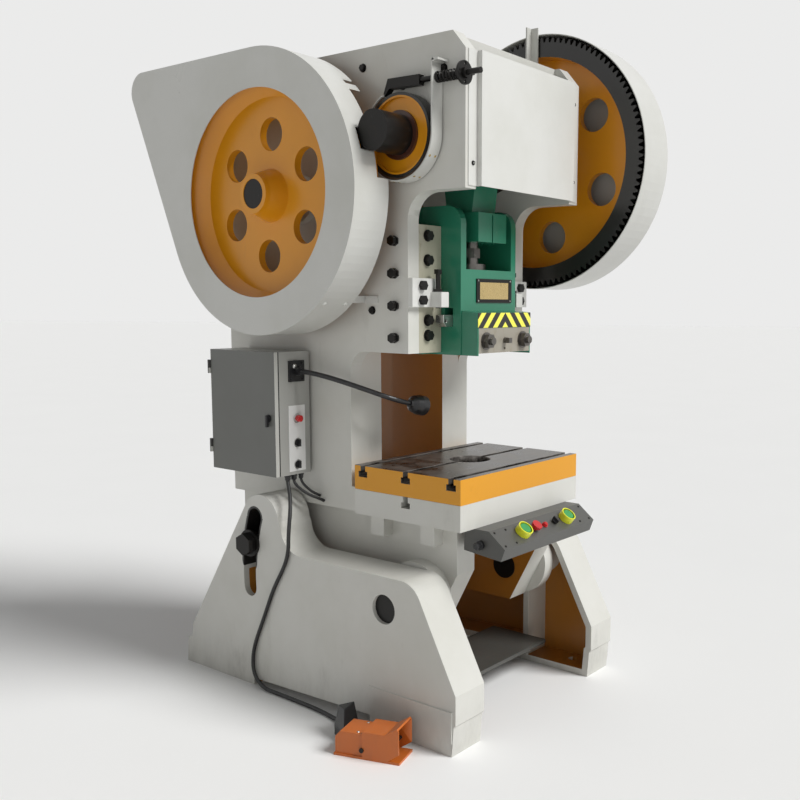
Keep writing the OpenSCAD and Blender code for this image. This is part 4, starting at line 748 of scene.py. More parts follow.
class Shape:
    """A mesh that grows by closed forms, in metres."""

    def __init__(self, name: str) -> None:
        """Starts an empty mesh."""
        self.name = name
        self.bm = bmesh.new()

    @staticmethod
    def _across(axis: Vector) -> tuple[Vector, Vector]:
        """Two unit vectors square to an axis and to each other.

        Args:
            axis: The axis, of unit length.

        Returns:
            The two vectors.
        """
        guide = Vector((0.0, 0.0, 1.0)) if abs(axis.z) < 0.9 else Vector((1.0, 0.0, 0.0))
        side = axis.cross(guide).normalized()
        return side, axis.cross(side).normalized()

    def lathe(self, origin: Point, axis: Point, profile: Profile, sides: int = 32) -> "Shape":
        """Turns a profile about an axis.

        Args:
            origin: Where the axis starts.
            axis: Its direction.
            profile: Radius and distance along the axis of each ring; ends are closed.
            sides: Facets round the axis.

        Returns:
            This shape.
        """
        along = Vector(axis).normalized()
        u, v = self._across(along)
        rings = []
        for radius, reach in profile:
            centre = Vector(origin) + along * reach
            if radius < 1e-6:
                rings.append([self.bm.verts.new(centre)])
                continue
            rings.append([self.bm.verts.new(at) for at in circle(centre, u, v, radius, sides)])
        for low, high in zip(rings, rings[1:]):
            for k in range(sides):
                nxt = (k + 1) % sides
                corners = [low[k % len(low)], low[nxt % len(low)], high[nxt % len(high)], high[k % len(high)]]
                unique = list(dict.fromkeys(corners))
                if len(unique) > 2:
                    self.bm.faces.new(unique)
        for ring in (rings[0], rings[-1]):
            if len(ring) > 2:
                self.bm.faces.new(ring)
        return self

    def tube(self, path: Sequence[Vector], radius: float, sides: int = 10, closed: bool = False) -> "Shape":
        """Sweeps a round section along points.

        Args:
            path: Points of the centre line.
            radius: Section's radius.
            sides: Facets round it.
            closed: Whether the path is a ring.

        Returns:
            This shape.
        """
        points = [Vector(p) for p in path]
        count = len(points)
        rings = []
        side = None
        for i, point in enumerate(points):
            if closed:
                ahead = points[(i + 1) % count] - points[i - 1]
            else:
                ahead = points[min(i + 1, count - 1)] - points[max(i - 1, 0)]
            ahead.normalize()
            side = self._across(ahead)[0] if side is None else (side - side.dot(ahead) * ahead).normalized()
            up = ahead.cross(side)
            rings.append([self.bm.verts.new(at) for at in circle(point, side, up, radius, sides)])
        pairs = list(zip(rings, rings[1:])) + ([(rings[-1], rings[0])] if closed else [])
        for low, high in pairs:
            for k in range(sides):
                nxt = (k + 1) % sides
                self.bm.faces.new([low[k], low[nxt], high[nxt], high[k]])
        if not closed:
            self.bm.faces.new(rings[0])
            self.bm.faces.new(rings[-1])
        return self

    def block(self, low: Point, high: Point) -> "Shape":
        """Box between two corners.

        Args:
            low: Lowest corner.
            high: Highest corner.

        Returns:
            This shape.
        """
        made = bmesh.ops.create_cube(self.bm, size=1.0)["verts"]
        size = [b - a for a, b in zip(low, high)]
        middle = [(a + b) / 2 for a, b in zip(low, high)]
        for vert in made:
            vert.co = Vector([m + c * s for m, c, s in zip(middle, vert.co, size)])
        return self

    def ring(self, centre: Point, axis: Point, radius: float, thick: float, sides: int) -> "Shape":
        """Bends a round bar into a circle.

        Args:
            centre: Middle of the circle.
            axis: Direction square to it.
            radius: Middle radius.
            thick: Radius of the bar.
            sides: Facets round the circle.

        Returns:
            This shape.
        """
        u, v = self._across(Vector(axis).normalized())
        return self.tube(circle(centre, u, v, radius, sides), thick, 8, closed=True)

    def coil(
        self, start: Point, axis: Point, radius: float, wire: float, length: float, turns: float
    ) -> "Shape":
        """Spring wound about an axis.

        Args:
            start: Centre of its first turn.
            axis: Direction of winding.
            radius: Middle radius of a turn.
            wire: Radius of the wire.
            length: Distance between the first and the last turn.
            turns: Turns over that length.

        Returns:
            This shape.
        """
        along = Vector(axis).normalized()
        u, v = self._across(along)
        steps = int(turns * 20)
        path = []
        for k in range(steps + 1):
            share = k / steps
            angle = 2 * math.pi * turns * share
            flat = min(1.0, max(0.0, (share - 0.06) / 0.88))
            spoke = math.cos(angle) * u + math.sin(angle) * v
            path.append(Vector(start) + along * length * flat + radius * spoke)
        return self.tube(path, wire, 8)

    def hexagon(self, origin: Point, axis: Point, across: float, height: float, washer: float) -> "Shape":
        """Hexagon head with a chamfered top, and a washer under it.

        Args:
            origin: Point on the seat.
            axis: Direction away from the seat.
            across: Radius over the corners.
            height: Height of the head.
            washer: Thickness of the washer.

        Returns:
            This shape.
        """
        self.lathe(origin, axis, [(across * 1.25, 0.0), (across * 1.25, washer)], 24)
        top = washer + height
        rim = [(across, washer), (across, top - 0.16 * height), (across * 0.86, top), (across * 0.3, top)]
        return self.lathe(origin, axis, rim, 6)

    def piece(self, paint: Paint, smooth: float = 35.0) -> bpy.types.Object:
        """Closes the mesh as an object.

        Args:
            paint: Its finish.
            smooth: Angle in degrees under which edges look round.

        Returns:
            The object, at the origin.
        """
        bmesh.ops.recalc_face_normals(self.bm, faces=self.bm.faces)
        mesh = bpy.data.meshes.new(self.name)
        self.bm.to_mesh(mesh)
        self.bm.free()
        mesh.materials.append(paint.material())
        made = put(self.name, mesh)
        mesh.shade_smooth()
        mesh.set_sharp_from_angle(angle=math.radians(smooth))
        return made


class Scatter:
    """Geometry Nodes that set one small form on each of a list of seats."""

    def __init__(self, name: str) -> None:
        """Builds the tree: points with a direction in, turned copies out.

        Args:
            name: Name of the tree.
        """
        tree = bpy.data.node_groups.new(name, "GeometryNodeTree")
        self.tree = tree
        ports = tree.interface
        ports.new_socket("Geometry", in_out="INPUT", socket_type="NodeSocketGeometry")
        self.form = ports.new_socket("Form", in_out="INPUT", socket_type="NodeSocketObject")
        self.scale = ports.new_socket("Scale", in_out="INPUT", socket_type="NodeSocketFloat")
        self.finish = ports.new_socket("Finish", in_out="INPUT", socket_type="NodeSocketMaterial")
        self.seed = ports.new_socket("Seed", in_out="INPUT", socket_type="NodeSocketInt")
        ports.new_socket("Geometry", in_out="OUTPUT", socket_type="NodeSocketGeometry")
        source = tree.nodes.new("NodeGroupInput")
        sink = tree.nodes.new("NodeGroupOutput")
        info = tree.nodes.new("GeometryNodeObjectInfo")
        info.transform_space = "ORIGINAL"
        points = tree.nodes.new("GeometryNodeMeshToPoints")
        facing = tree.nodes.new("GeometryNodeInputNamedAttribute")
        facing.data_type = "FLOAT_VECTOR"
        facing.inputs["Name"].default_value = "facing"
        align = tree.nodes.new("FunctionNodeAlignRotationToVector")
        align.axis = "Z"
        random = tree.nodes.new("FunctionNodeRandomValue")
        random.data_type = "FLOAT"
        random.inputs[3].default_value = 2 * math.pi
        spin = tree.nodes.new("FunctionNodeAxisAngleToRotation")
        spin.inputs["Axis"].default_value = (0.0, 0.0, 1.0)
        both = tree.nodes.new("FunctionNodeRotateRotation")
        both.rotation_space = "LOCAL"
        copies = tree.nodes.new("GeometryNodeInstanceOnPoints")
        real = tree.nodes.new("GeometryNodeRealizeInstances")
        dress = tree.nodes.new("GeometryNodeSetMaterial")
        link = tree.links.new
        link(source.outputs["Geometry"], points.inputs["Mesh"])
        link(source.outputs["Form"], info.inputs["Object"])
        link(facing.outputs["Attribute"], align.inputs["Vector"])
        link(source.outputs["Seed"], random.inputs["Seed"])
        link(random.outputs[1], spin.inputs["Angle"])
        link(align.outputs["Rotation"], both.inputs["Rotation"])
        link(spin.outputs["Rotation"], both.inputs["Rotate By"])
        link(points.outputs["Points"], copies.inputs["Points"])
        link(info.outputs["Geometry"], copies.inputs["Instance"])
        link(both.outputs["Rotation"], copies.inputs["Rotation"])
        link(source.outputs["Scale"], copies.inputs["Scale"])
        link(copies.outputs["Instances"], real.inputs["Geometry"])
        link(real.outputs["Geometry"], dress.inputs["Geometry"])
        link(source.outputs["Finish"], dress.inputs["Material"])
        link(dress.outputs["Geometry"], sink.inputs["Geometry"])

    def place(
        self, name: str, form: bpy.types.Object, seats: Seats, paint: Paint, body: str
    ) -> bpy.types.Object:
        """Sets the form on every seat.

        Args:
            name: Name of the piece.
            form: Form whose seat is its origin and whose head points up.
            seats: Place and outward direction of each copy.
            paint: Finish of the copies.
            body: Body that carries them.

        Returns:
            One plain mesh of all the copies.
        """
        mesh = bpy.data.meshes.new(name + "_seats")
        mesh.from_pydata([place for place, _ in seats], [], [])
        facing = mesh.attributes.new("facing", "FLOAT_VECTOR", "POINT")
        facing.data.foreach_set("vector", [part for _, out in seats for part in out])
        carrier = put(name + "_carrier", mesh)
        grow = carrier.modifiers.new("Scatter", "NODES")
        grow.node_group = self.tree
        grow[self.form.identifier] = form
        grow[self.scale.identifier] = 1.0
        grow[self.finish.identifier] = paint.material()
        grow[self.seed.identifier] = len(seats) + 3
        graph = bpy.context.evaluated_depsgraph_get()
        plain = bpy.data.meshes.new_from_object(carrier.evaluated_get(graph))
        carrier.modifiers.remove(grow)
        bpy.data.objects.remove(carrier)
        made = put(name, plain)
        plain.set_sharp_from_angle(angle=math.radians(35))
        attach(made, body)
        return made


def report(made: bpy.types.Object) -> None:
    """Logs a piece with its faces."""
    faces = len(made.data.polygons) if made.type == "MESH" else 0
    LOG.info("%s: %d faces", made.name, faces)


# Carried-over solids


DRESS = (
    (Paint.LEG, "leg_left leg_right"),
    (Paint.CONTROL, "tie_plates control_box"),
    (Paint.BLACK_STEEL, (
        "pivot_pins incline_bolts guide_side_bolts hex_bolts stop_screws drive_shaft "
        "crankshaft brake_lug brake_wheel plate_frame foot_treadle"
    )),
    (Paint.FRAME, "frame_casting"),
    (Paint.BOLSTER, "bolster"),
    (Paint.BRONZE, "bushes"),
    (Paint.GIB, "gib_left gib_right"),
    (Paint.COVER, "stop_blocks front_cover trip_box"),
    (Paint.GEAR, "main_gear"),
    (Paint.WHEEL, "flywheel"),
    (Paint.DRUM, "brake_drum"),
    (Paint.LINING, "brake_lining"),
    (Paint.BAND, "brake_band"),
    (Paint.SHEET, "flywheel_guard gear_guard"),
    (Paint.MOTOR, "motor"),
    (Paint.OILED_STEEL, "motor_pulley clamp_nuts ball_screw"),
    (Paint.BELT, "drive_belts"),
    (Paint.PRESS, "motor_bracket"),
    (Paint.RAM, "ram connecting_rod"),
    (Paint.CLAMP, "die_clamp"),
    (Paint.BRIGHT_STEEL, "knockout_bar trip_rod"),
    (Paint.BRASS, "brass_plate"),
    (Paint.CABINET_FRONT, "cabinet_box"),
    (Paint.CABINET, "cabinet_door"),
    (Paint.BLACK_PLASTIC, (
        "door_latch lamp_arm lamp_head selector_upper selector_lower mode_selector "
        "foot_cable_box"
    )),
    (Paint.STRIP, "switch_strip"),
    (Paint.RED, "stop_button mushroom_button"),
    (Paint.YELLOW, "palm_collars"),
    (Paint.GREEN, "palm_button_left palm_button_right"),
    (Paint.FOOT, "foot_base"),
    (Paint.SHEATH, "foot_cable"),
)


@dataclass
class Dresser:
    """Gives each solid its finish and rounds the edges of castings and sheet."""

    rounded: dict[str, float] = field(default_factory=lambda: {
        "frame_casting": 0.006, "leg_left": 0.007, "leg_right": 0.007, "bolster": 0.0015, "ram": 0.004,
        "connecting_rod": 0.003, "front_cover": 0.0025, "cabinet_door": 0.002, "cabinet_box": 0.0015,
        "gib_left": 0.0015, "gib_right": 0.0015, "stop_blocks": 0.002, "die_clamp": 0.002,
        "control_box": 0.004, "foot_base": 0.0015, "knockout_bar": 0.0015, "trip_box": 0.003,
        "motor_bracket": 0.002, "foot_cable_box": 0.004,
    })

    def dress(self) -> None:
        """Assigns the finishes and adds the edge rounding."""
        paints = {name: paint for paint, names in DRESS for name in names.split()}
        for name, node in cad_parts.items():
            paint = paints[name]
            node.data.materials.clear()
            node.data.materials.append(paint.material())
            width = self.rounded.get(name, 0.0)
            if width > 0:
                self._round(node, width)
            report(node)

    @staticmethod
    def _round(node: bpy.types.Object, width: float) -> None:
        """Rounds the sharp edges of a solid by modifiers alone.

        Args:
            node: The solid.
            width: Width of the rounding.
        """
        weld = node.modifiers.new("Weld", "WELD")
        weld.merge_threshold = 0.00002
        round_edges(node, width).harden_normals = False


# Added pieces


@dataclass
class Fitting:
    """What the classes of added pieces share.

    Args:
        scatter: Tree that sets small heads on their seats.
    """

    scatter: Scatter

    @staticmethod
    def _keep(made: bpy.types.Object, body: str) -> None:
        """Lets a piece ride on a body and logs it."""
        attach(made, body)
        report(made)

    def _heads(self, name: str, radius: float, height: float, seats: Seats, paint: Paint, body: str) -> None:
        """Sets slotted pan heads on a list of seats.

        Args:
            name: Name of the piece.
            radius: Radius of a head.
            height: Height of a head.
            seats: Place and outward direction of each head.
            paint: Finish of the heads.
            body: Body that carries them.
        """
        form = Shape(name + "_form")
        rim = [(radius, 0.0), (radius, 0.45 * height), (0.8 * radius, 0.85 * height), (0.4 * radius, height)]
        rim += [(0.34 * radius, 0.5 * height), (0.0, 0.5 * height)]
        form.lathe((0.0, 0.0, 0.0), UP, rim, 20)
        model = form.piece(paint)
        report(self.scatter.place(name, model, seats, paint, body))
        bpy.data.objects.remove(model)


@dataclass
class BrakeFittings(Fitting):
    """Spring between the hand wheel and the band, the strap's cap and bolt, the band's rivets."""

    spring_start: Point = (-0.360, -0.5140, 2.142)
    spring_length: float = 0.0965
    spring_radius: float = 0.0150
    spring_wire: float = 0.0028
    spring_turns: float = 8.5
    end_rings: Pairs = ((-0.5158, 0.0030), (-0.6092, 0.0028))
    cap_at: Point = (-0.386, -0.5145, 2.191)
    cap_rim: Profile = ((0.0045, 0.0), (0.006, 0.0015), (0.006, 0.0485), (0.0045, 0.05))
    bolt_at: Point = (-WALL_X, -0.5143, 2.1733)
    bolt_size: tuple[float, float] = (0.0125, 0.010)
    rivet_x: tuple[float, ...] = (-0.374, -0.348)
    rivet_degrees: tuple[float, ...] = (-150, -115, -80, -45, -10, 25)
    rivet_size: tuple[float, float] = (0.0042, 0.0016)

    def build(self) -> None:
        """Makes the pieces of the brake in order."""
        self._spring()
        self._strap()
        self._rivets()

    def _spring(self) -> None:
        """Coil with a ring at each end."""
        spring = Shape("brake_spring")
        sizes = (self.spring_radius, self.spring_wire, self.spring_length, self.spring_turns)
        spring.coil(self.spring_start, TO_FRONT, *sizes)
        x, _, z = self.spring_start
        for y, wire in self.end_rings:
            spring.ring((x, y, z), TO_BACK, self.spring_radius, wire, 36)
        self._keep(spring.piece(Paint.BLACK_STEEL), "frame")

    def _strap(self) -> None:
        """Cap over the strap's end and its bolt."""
        cap = Shape("strap_cap")
        cap.lathe(self.cap_at, TO_RIGHT, self.cap_rim, 20)
        self._keep(cap.piece(Paint.BAND), "frame")
        bolt = Shape("strap_bolt")
        bolt.hexagon(self.bolt_at, TO_LEFT, *self.bolt_size, WASHER)
        self._keep(bolt.piece(Paint.BLACK_STEEL), "frame")

    def _rivets(self) -> None:
        """Two rows of rivets round the band."""
        seats = []
        for x in self.rivet_x:
            for a in map(math.radians, self.rivet_degrees):
                out = (0.0, math.cos(a), math.sin(a))
                seats.append(((x, PRESS_LINE + BAND_RADIUS * out[1], CRANK_Z + BAND_RADIUS * out[2]), out))
        self._heads("band_rivets", *self.rivet_size, seats, Paint.BRASS, "frame")


@dataclass
class RamFittings(Fitting):
    """Hazard band over the die clamp and rivets of the brass plate's frame."""

    band_low: Point = (-0.1555, -0.5208, 1.3575)
    band_high: Point = (0.1555, -0.5192, 1.4085)
    rivet_x: tuple[float, ...] = (-0.066, 0.122)
    rivet_y: float = -0.4519
    rivet_z: tuple[float, ...] = (1.449, 1.520)
    rivet_size: tuple[float, float] = (0.0032, 0.0018)

    def build(self) -> None:
        """Makes the band and the rivets."""
        band = Shape("hazard_band")
        band.block(self.band_low, self.band_high)
        self._keep(band.piece(Paint.STRIPES), "ram_slide")
        seats = [((x, self.rivet_y, z), TO_FRONT) for x in self.rivet_x for z in self.rivet_z]
        self._heads("plate_rivets", *self.rivet_size, seats, Paint.BRIGHT_STEEL, "ram_slide")


@dataclass
class CoverFittings(Fitting):
    """Screws of the front cover and of the flywheel guard, and bolts on the wall."""

    cover_x: tuple[float, ...] = (-0.296, 0.296)
    cover_y: float = -0.6049
    cover_z: tuple[float, ...] = (1.881, 2.156)
    cover_screw: tuple[float, float] = (0.0074, 0.0052)
    guard_x: tuple[float, ...] = (-0.519, -0.425)
    guard_way: Point = (0.0, -0.6364, -0.7714)
    guard_screw: tuple[float, float] = (0.0085, 0.0045)
    wall_seats: Pairs = ((-0.1627, 2.2209), (-0.1959, 1.4137))
    wall_bolt: tuple[float, float] = (0.0115, 0.009)

    def build(self) -> None:
        """Makes the screws and the bolts."""
        seats = [((x, self.cover_y, z), TO_FRONT) for x in self.cover_x for z in self.cover_z]
        self._heads("cover_screws", *self.cover_screw, seats, Paint.BLACK_STEEL, "frame")
        y, z = (middle + GUARD_RADIUS * part for middle, part in zip(DRIVE_AXIS, self.guard_way[1:]))
        seats = [((x, y, z), self.guard_way) for x in self.guard_x]
        self._heads("guard_screws", *self.guard_screw, seats, Paint.COVER, "frame")
        bolts = Shape("wall_bolts")
        for y, z in self.wall_seats:
            bolts.hexagon((-WALL_X, y, z), TO_LEFT, *self.wall_bolt, WASHER)
        self._keep(bolts.piece(Paint.BLACK_STEEL), "frame")


@dataclass
class CabinetFittings(Fitting):
    """Bezels of the switches, boss of the lamp flange and cable glands."""

    bezel_x: float = -0.408
    bezel_y: float = 0.1101
    bezel_z: tuple[float, ...] = (1.023, 0.934, 0.855)
    bezel_size: tuple[float, float] = (0.0158, 0.0016)
    boss_at: Point = (-0.4205, 0.1068, 1.2115)
    boss_rim: Profile = ((0.009, 0.0), (0.009, 0.004), (0.006, 0.0065), (0.002, 0.0075))
    gland_xy: Pairs = ((-0.440, 0.131), (-0.408, 0.134), (-0.374, 0.134))
    gland_z: float = 0.8178
    gland_radius: tuple[float, ...] = (0.0125, 0.013, 0.011)

    def build(self) -> None:
        """Makes the bezels, the boss and the glands."""
        bezels = Shape("switch_bezels")
        for z in self.bezel_z:
            bezels.ring((self.bezel_x, self.bezel_y, z), TO_BACK, *self.bezel_size, 40)
        self._keep(bezels.piece(Paint.BRIGHT_STEEL), "frame")
        boss = Shape("lamp_boss")
        boss.lathe(self.boss_at, TO_FRONT, self.boss_rim, 24)
        self._keep(boss.piece(Paint.BRIGHT_STEEL), "frame")
        glands = Shape("cabinet_glands")
        for (x, y), radius in zip(self.gland_xy, self.gland_radius):
            collar, tail = 0.82 * radius, 0.62 * radius
            nut = [(radius, 0.0), (radius, 0.009), (collar, 0.0095), (collar, 0.019), (tail, 0.023)]
            glands.lathe((x, y, self.gland_z), DOWN, nut, 8)
        self._keep(glands.piece(Paint.BLACK_PLASTIC, 25.0), "frame")


@dataclass
class ControlFittings(Fitting):
    """Gland on the end of the two-hand box, a signal lens, screws of its lid."""

    gland_at: Point = (-0.2798, -0.632, 0.645)
    gland_rim: Profile = ((0.016, 0.0), (0.016, 0.010), (0.013, 0.011), (0.013, 0.026), (0.009, 0.031))
    lens_rim: Profile = (
        (0.011, -0.002), (0.011, 0.004), (0.009, 0.0042), (0.0085, 0.010), (0.005, 0.013), (0.0, 0.0135)
    )
    screw_x: tuple[float, ...] = (-0.262, -0.200, 0.200, 0.262)
    screw_reach: tuple[float, ...] = (-0.030, 0.030)
    screw_lift: float = 0.0002
    screw_size: tuple[float, float] = (0.0042, 0.0022)

    def build(self) -> None:
        """Makes the gland, the lens and the screws."""
        gland = Shape("control_gland")
        gland.lathe(self.gland_at, TO_LEFT, self.gland_rim, 12)
        self._keep(gland.piece(Paint.BLACK_PLASTIC, 25.0), "frame")
        slope = Vector((0.0, -math.sin(PANEL_SLOPE), math.cos(PANEL_SLOPE)))
        centre = Vector(PANEL_CENTRE)
        lens = Shape("signal_lens")
        lens.lathe(centre, slope, self.lens_rim, 24)
        self._keep(lens.piece(Paint.RED), "frame")
        along = slope.cross(Vector(TO_RIGHT))
        seats = []
        for x in self.screw_x:
            for reach in self.screw_reach:
                place = centre + Vector((x, 0.0, 0.0)) + reach * along + self.screw_lift * slope
                seats.append((tuple(place), tuple(slope)))
        self._heads("lid_screws", *self.screw_size, seats, Paint.BLACK_STEEL, "frame")


@dataclass
class LampFittings(Fitting):
    """Lens inside the lamp's bell."""

    neck_length: float = 0.0123
    lens_rim: Profile = ((0.0322, 0.0525), (0.0322, 0.0555), (0.018, 0.0590), (0.0, 0.0600))

    def build(self) -> None:
        """Makes the lens."""
        way = Vector((math.cos(LAMP_DIP), 0.0, -math.sin(LAMP_DIP)))
        start = Vector(LAMP_NECK) + self.neck_length * way
        lens = Shape("lamp_lens_disc")
        lens.lathe(start, way, self.lens_rim, 36)
        self._keep(lens.piece(Paint.LENS), "frame")


@dataclass
class FootFittings(Fitting):
    """Cover screws and pivot ends of the foot switch."""

    place: Point = (-0.618, -0.459, 0.0)
    turned: float = math.radians(18)
    screw_x: tuple[float, ...] = (-0.036, 0.036)
    screw_y: tuple[float, ...] = (0.034, 0.086)
    screw_size: tuple[float, float] = (0.0045, 0.0026)
    cover_top: float = 0.0821
    slope_from: float = 0.081
    slope_fall: float = 1.11
    pin_at: Point = (0.0521, 0.016, 0.030)
    pin_rim: Profile = ((0.008, 0.0), (0.008, 0.003), (0.005, 0.0045))

    def build(self) -> None:
        """Makes the screws and the pivot ends."""
        turn = Matrix.Translation(self.place) @ Matrix.Rotation(self.turned, 4, "Z")
        screws = []
        for x in self.screw_x:
            for y in self.screw_y:
                top = self.cover_top - max(0.0, y - self.slope_from) * self.slope_fall
                screws.append((tuple(turn @ Vector((x, y, top))), UP))
        self._heads("foot_screws", *self.screw_size, screws, Paint.BRIGHT_STEEL, "base")
        pins = Shape("foot_pivot_ends")
        x, y, z = self.pin_at
        for side in (-1.0, 1.0):
            seat = turn @ Vector((side * x, y, z))
            way = turn.to_3x3() @ Vector((side, 0.0, 0.0))
            pins.lathe(seat, way, self.pin_rim, 20)
        self._keep(pins.piece(Paint.BLACK_STEEL), "base")


@dataclass
class MotorFittings(Fitting):
    """Grille of the motor's fan cover."""

    centre: Point = (-0.0448, 0.771, 2.216)
    radii: tuple[float, ...] = (0.030, 0.048, 0.066, 0.084)
    wire: float = 0.0016

    def build(self) -> None:
        """Makes the grille."""
        grille = Shape("fan_grille")
        for radius in self.radii:
            grille.ring(self.centre, TO_RIGHT, radius, self.wire, 48)
        self._keep(grille.piece(Paint.BLACK_STEEL), "frame")


FITTINGS = (
    BrakeFittings, RamFittings, CoverFittings, CabinetFittings,
    ControlFittings, LampFittings, FootFittings, MotorFittings,
)


@dataclass
class Cable:
    """Sheathed cable that hangs or lies as one piece.

    Args:
        name: Name of the piece.
        radius: Radius of the cable.
        points: Points of its route.
        body: Body that carries it.
        far_end: What it ends in; not used.
        lay: How it lies; not used.
        replaces: Solids that it stands for.
    """

    name: str
    radius: float
    points: tuple[Point, ...]
    body: str
    far_end: str
    lay: str
    replaces: tuple[str, ...] = ()

    def _smooth(self) -> list[Vector]:
        """Smooth line through the route.

        Returns:
            Its points, in order.
        """
        route = [Vector(p) for p in self.points]
        out = []
        for k in range(len(route) - 1):
            a, b = route[max(k - 1, 0)], route[k]
            c, d = route[k + 1], route[min(k + 2, len(route) - 1)]
            for step in range(4):
                t = step / 4
                bend = (2 * a - 5 * b + 4 * c - d) * t**2 + (3 * b - a - 3 * c + d) * t**3
                out.append(0.5 * (2 * b + (c - a) * t + bend))
        out.append(route[-1])
        return out

    def build(self) -> None:
        """Makes the cable and works out its length, which nothing uses."""
        line = self._smooth()
        made = Shape(self.name).tube(line, self.radius, 12).piece(Paint.SHEATH)
        length = sum((b - a).length for a, b in zip(line, line[1:]))
        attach(made, self.body)
        if self.replaces:
            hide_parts(*self.replaces)
        report(made)


CABLES = (
    Cable("foot_switch_cable", 0.007, (
        (-0.440, 0.131, 0.818), (-0.440, 0.131, 0.796), (-0.444, 0.122, 0.774), (-0.452, 0.108, 0.750),
        (-0.464, 0.092, 0.722), (-0.478, 0.078, 0.690), (-0.491, 0.069, 0.650), (-0.498, 0.066, 0.606),
        (-0.499, 0.068, 0.560), (-0.499, 0.082, 0.515), (-0.499, 0.107, 0.470), (-0.499, 0.134, 0.428),
        (-0.499, 0.159, 0.385), (-0.499, 0.181, 0.340), (-0.499, 0.202, 0.295), (-0.499, 0.224, 0.250),
        (-0.499, 0.246, 0.205), (-0.500, 0.264, 0.160), (-0.500, 0.275, 0.115), (-0.501, 0.274, 0.072),
        (-0.502, 0.258, 0.038), (-0.503, 0.228, 0.017), (-0.504, 0.190, 0.008), (-0.505, 0.130, 0.008),
        (-0.506, 0.070, 0.008), (-0.508, 0.0, 0.008), (-0.511, -0.070, 0.008), (-0.517, -0.130, 0.008),
        (-0.528, -0.185, 0.010), (-0.544, -0.232, 0.018), (-0.563, -0.275, 0.028),
    ), "base", "object", "loose", ("foot_cable",)),
    Cable("motor_lead", 0.0055, (
        (-0.408, 0.134, 0.796), (-0.408, 0.131, 0.786), (-0.406, 0.122, 0.775), (-0.401, 0.110, 0.764),
        (-0.393, 0.097, 0.753), (-0.383, 0.085, 0.743), (-0.371, 0.075, 0.735), (-0.358, 0.067, 0.728),
        (-0.345, 0.061, 0.721), (-0.3325, 0.057, 0.713),
    ), "frame", "object", "hanging"),
    Cable("switch_lead", 0.005, (
        (-0.374, 0.134, 0.796), (-0.374, 0.131, 0.787), (-0.3735, 0.123, 0.777), (-0.371, 0.112, 0.767),
        (-0.366, 0.101, 0.757), (-0.359, 0.092, 0.748), (-0.350, 0.085, 0.741), (-0.341, 0.080, 0.735),
        (-0.3325, 0.077, 0.730),
    ), "frame", "object", "hanging"),
)


# Stage


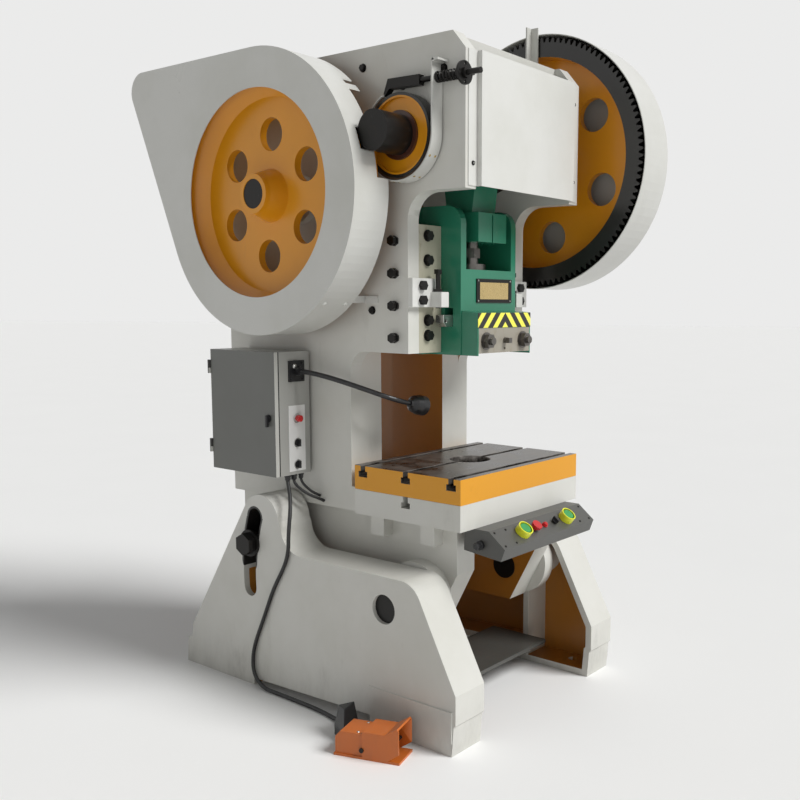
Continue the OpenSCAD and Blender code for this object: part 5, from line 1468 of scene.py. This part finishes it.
@dataclass
class Studio:
    """Floor, backdrop, lamps and the camera of the photograph's view."""

    camera_at: Point = (-2.722, -2.505, 1.447)
    yaw: float = 53.74
    pitch: float = -7.19
    roll: float = 0.46
    focal_px: float = 422.5
    zoom: float = 2.25
    centre_px: tuple[float, float] = (255.7, 239.1)
    press_px: tuple[float, float] = (210.5, 229.5)
    frame_px: float = 800.0
    sensor: float = 36.0

    def camera(self) -> None:
        """Sets the camera where the photograph was taken, closer in by its lens."""
        yaw, pitch, roll = (math.radians(a) for a in (self.yaw, self.pitch, self.roll))
        ahead = Vector((math.sin(yaw) * math.cos(pitch), math.cos(yaw) * math.cos(pitch), math.sin(pitch)))
        right = Vector((math.cos(yaw), -math.sin(yaw), 0.0))
        up = right.cross(ahead)
        tilted_right = math.cos(roll) * right + math.sin(roll) * up
        tilted_up = math.cos(roll) * up - math.sin(roll) * right
        turn = Matrix((tilted_right, tilted_up, -ahead)).transposed()
        data = bpy.data.cameras.new("camera")
        data.sensor_width = self.sensor
        data.lens = self.sensor * self.focal_px * self.zoom / self.frame_px
        data.shift_x = -(self.centre_px[0] - self.press_px[0]) * self.zoom / self.frame_px
        data.shift_y = (self.centre_px[1] - self.press_px[1]) * self.zoom / self.frame_px
        data.clip_end = 60.0
        made = put("camera", data)
        made.matrix_world = Matrix.Translation(self.camera_at) @ turn.to_4x4()
        bpy.context.scene.camera = made

    def floor(self) -> None:
        """Pale floor that runs out of sight."""
        mesh = bpy.data.meshes.new("floor")
        reach = 60.0
        ways = ((-1, -1), (1, -1), (1, 1), (-1, 1))
        corners = [(x * reach, y * reach, FLOOR_Z) for x, y in ways]
        mesh.from_pydata(corners, [], [(0, 1, 2, 3)])
        made = put("floor", mesh)
        graph = Graph("floor_paint")
        cloud = graph.ease(graph.noise(1.2, 4.0), 0.3, 0.8) * 0.3
        shade = graph.mix(cloud, (0.90, 0.90, 0.89), (0.87, 0.87, 0.86))
        mesh.materials.append(graph.finish(Base_Color=shade, Roughness=0.7))

    def world(self) -> None:
        """Pale backdrop for the camera and for gloss, softer light on the press."""
        world = bpy.data.worlds.new("studio")
        world.use_nodes = True
        tree = world.node_tree
        tree.nodes.clear()
        path = tree.nodes.new("ShaderNodeLightPath")
        seen = tree.nodes.new("ShaderNodeMath")
        seen.operation = "MAXIMUM"
        tree.links.new(path.outputs["Is Camera Ray"], seen.inputs[0])
        tree.links.new(path.outputs["Is Glossy Ray"], seen.inputs[1])
        plain = tree.nodes.new("ShaderNodeBackground")
        plain.inputs["Color"].default_value = (1.0, 1.0, 1.0, 1.0)
        plain.inputs["Strength"].default_value = 0.23
        white = tree.nodes.new("ShaderNodeBackground")
        white.inputs["Color"].default_value = (0.83, 0.83, 0.825, 1.0)
        mix = tree.nodes.new("ShaderNodeMixShader")
        sink = tree.nodes.new("ShaderNodeOutputWorld")
        tree.links.new(seen.outputs[0], mix.inputs["Fac"])
        tree.links.new(plain.outputs[0], mix.inputs[1])
        tree.links.new(white.outputs[0], mix.inputs[2])
        tree.links.new(mix.outputs[0], sink.inputs["Surface"])
        bpy.context.scene.world = world

    @staticmethod
    def _lamp(name: str, at: Point, aim: Point, size: float, watts: float) -> None:
        """Adds one soft lamp.

        Args:
            name: Name of the lamp.
            at: Its place.
            aim: Point it looks at.
            size: Side of the square panel.
            watts: Power.
        """
        data = bpy.data.lights.new(name, "AREA")
        data.size = size
        data.energy = watts
        way = Vector(aim) - Vector(at)
        made = put(name, data)
        made.matrix_world = Matrix.Translation(at) @ way.to_track_quat("-Z", "Y").to_matrix().to_4x4()

    def lamps(self) -> None:
        """Soft sun from the front right, a weak panel from the left."""
        data = bpy.data.lights.new("key", "SUN")
        data.energy = 3.0
        data.angle = math.radians(26)
        way = Vector((-1.35, 4.4, -4.3))
        put("key", data).matrix_world = way.to_track_quat("-Z", "Y").to_matrix().to_4x4()
        self._lamp("fill", (-4.6, -1.6, 2.2), (0.0, 0.0, 1.2), 3.0, 9.0)

    def build(self) -> None:
        """Sets up the whole stage."""
        self.camera()
        self.floor()
        self.world()
        self.lamps()
        bpy.context.scene.view_settings.view_transform = "Standard"


def main() -> None:
    """Builds the stage and dresses the press."""
    logging.basicConfig(level=logging.INFO, format="%(name)s %(message)s")
    Studio().build()
    Dresser().dress()
    scatter = Scatter("scatter")
    for kind in FITTINGS:
        kind(scatter).build()
    for cable in CABLES:
        cable.build()


if __name__ == "__main__":
    main()
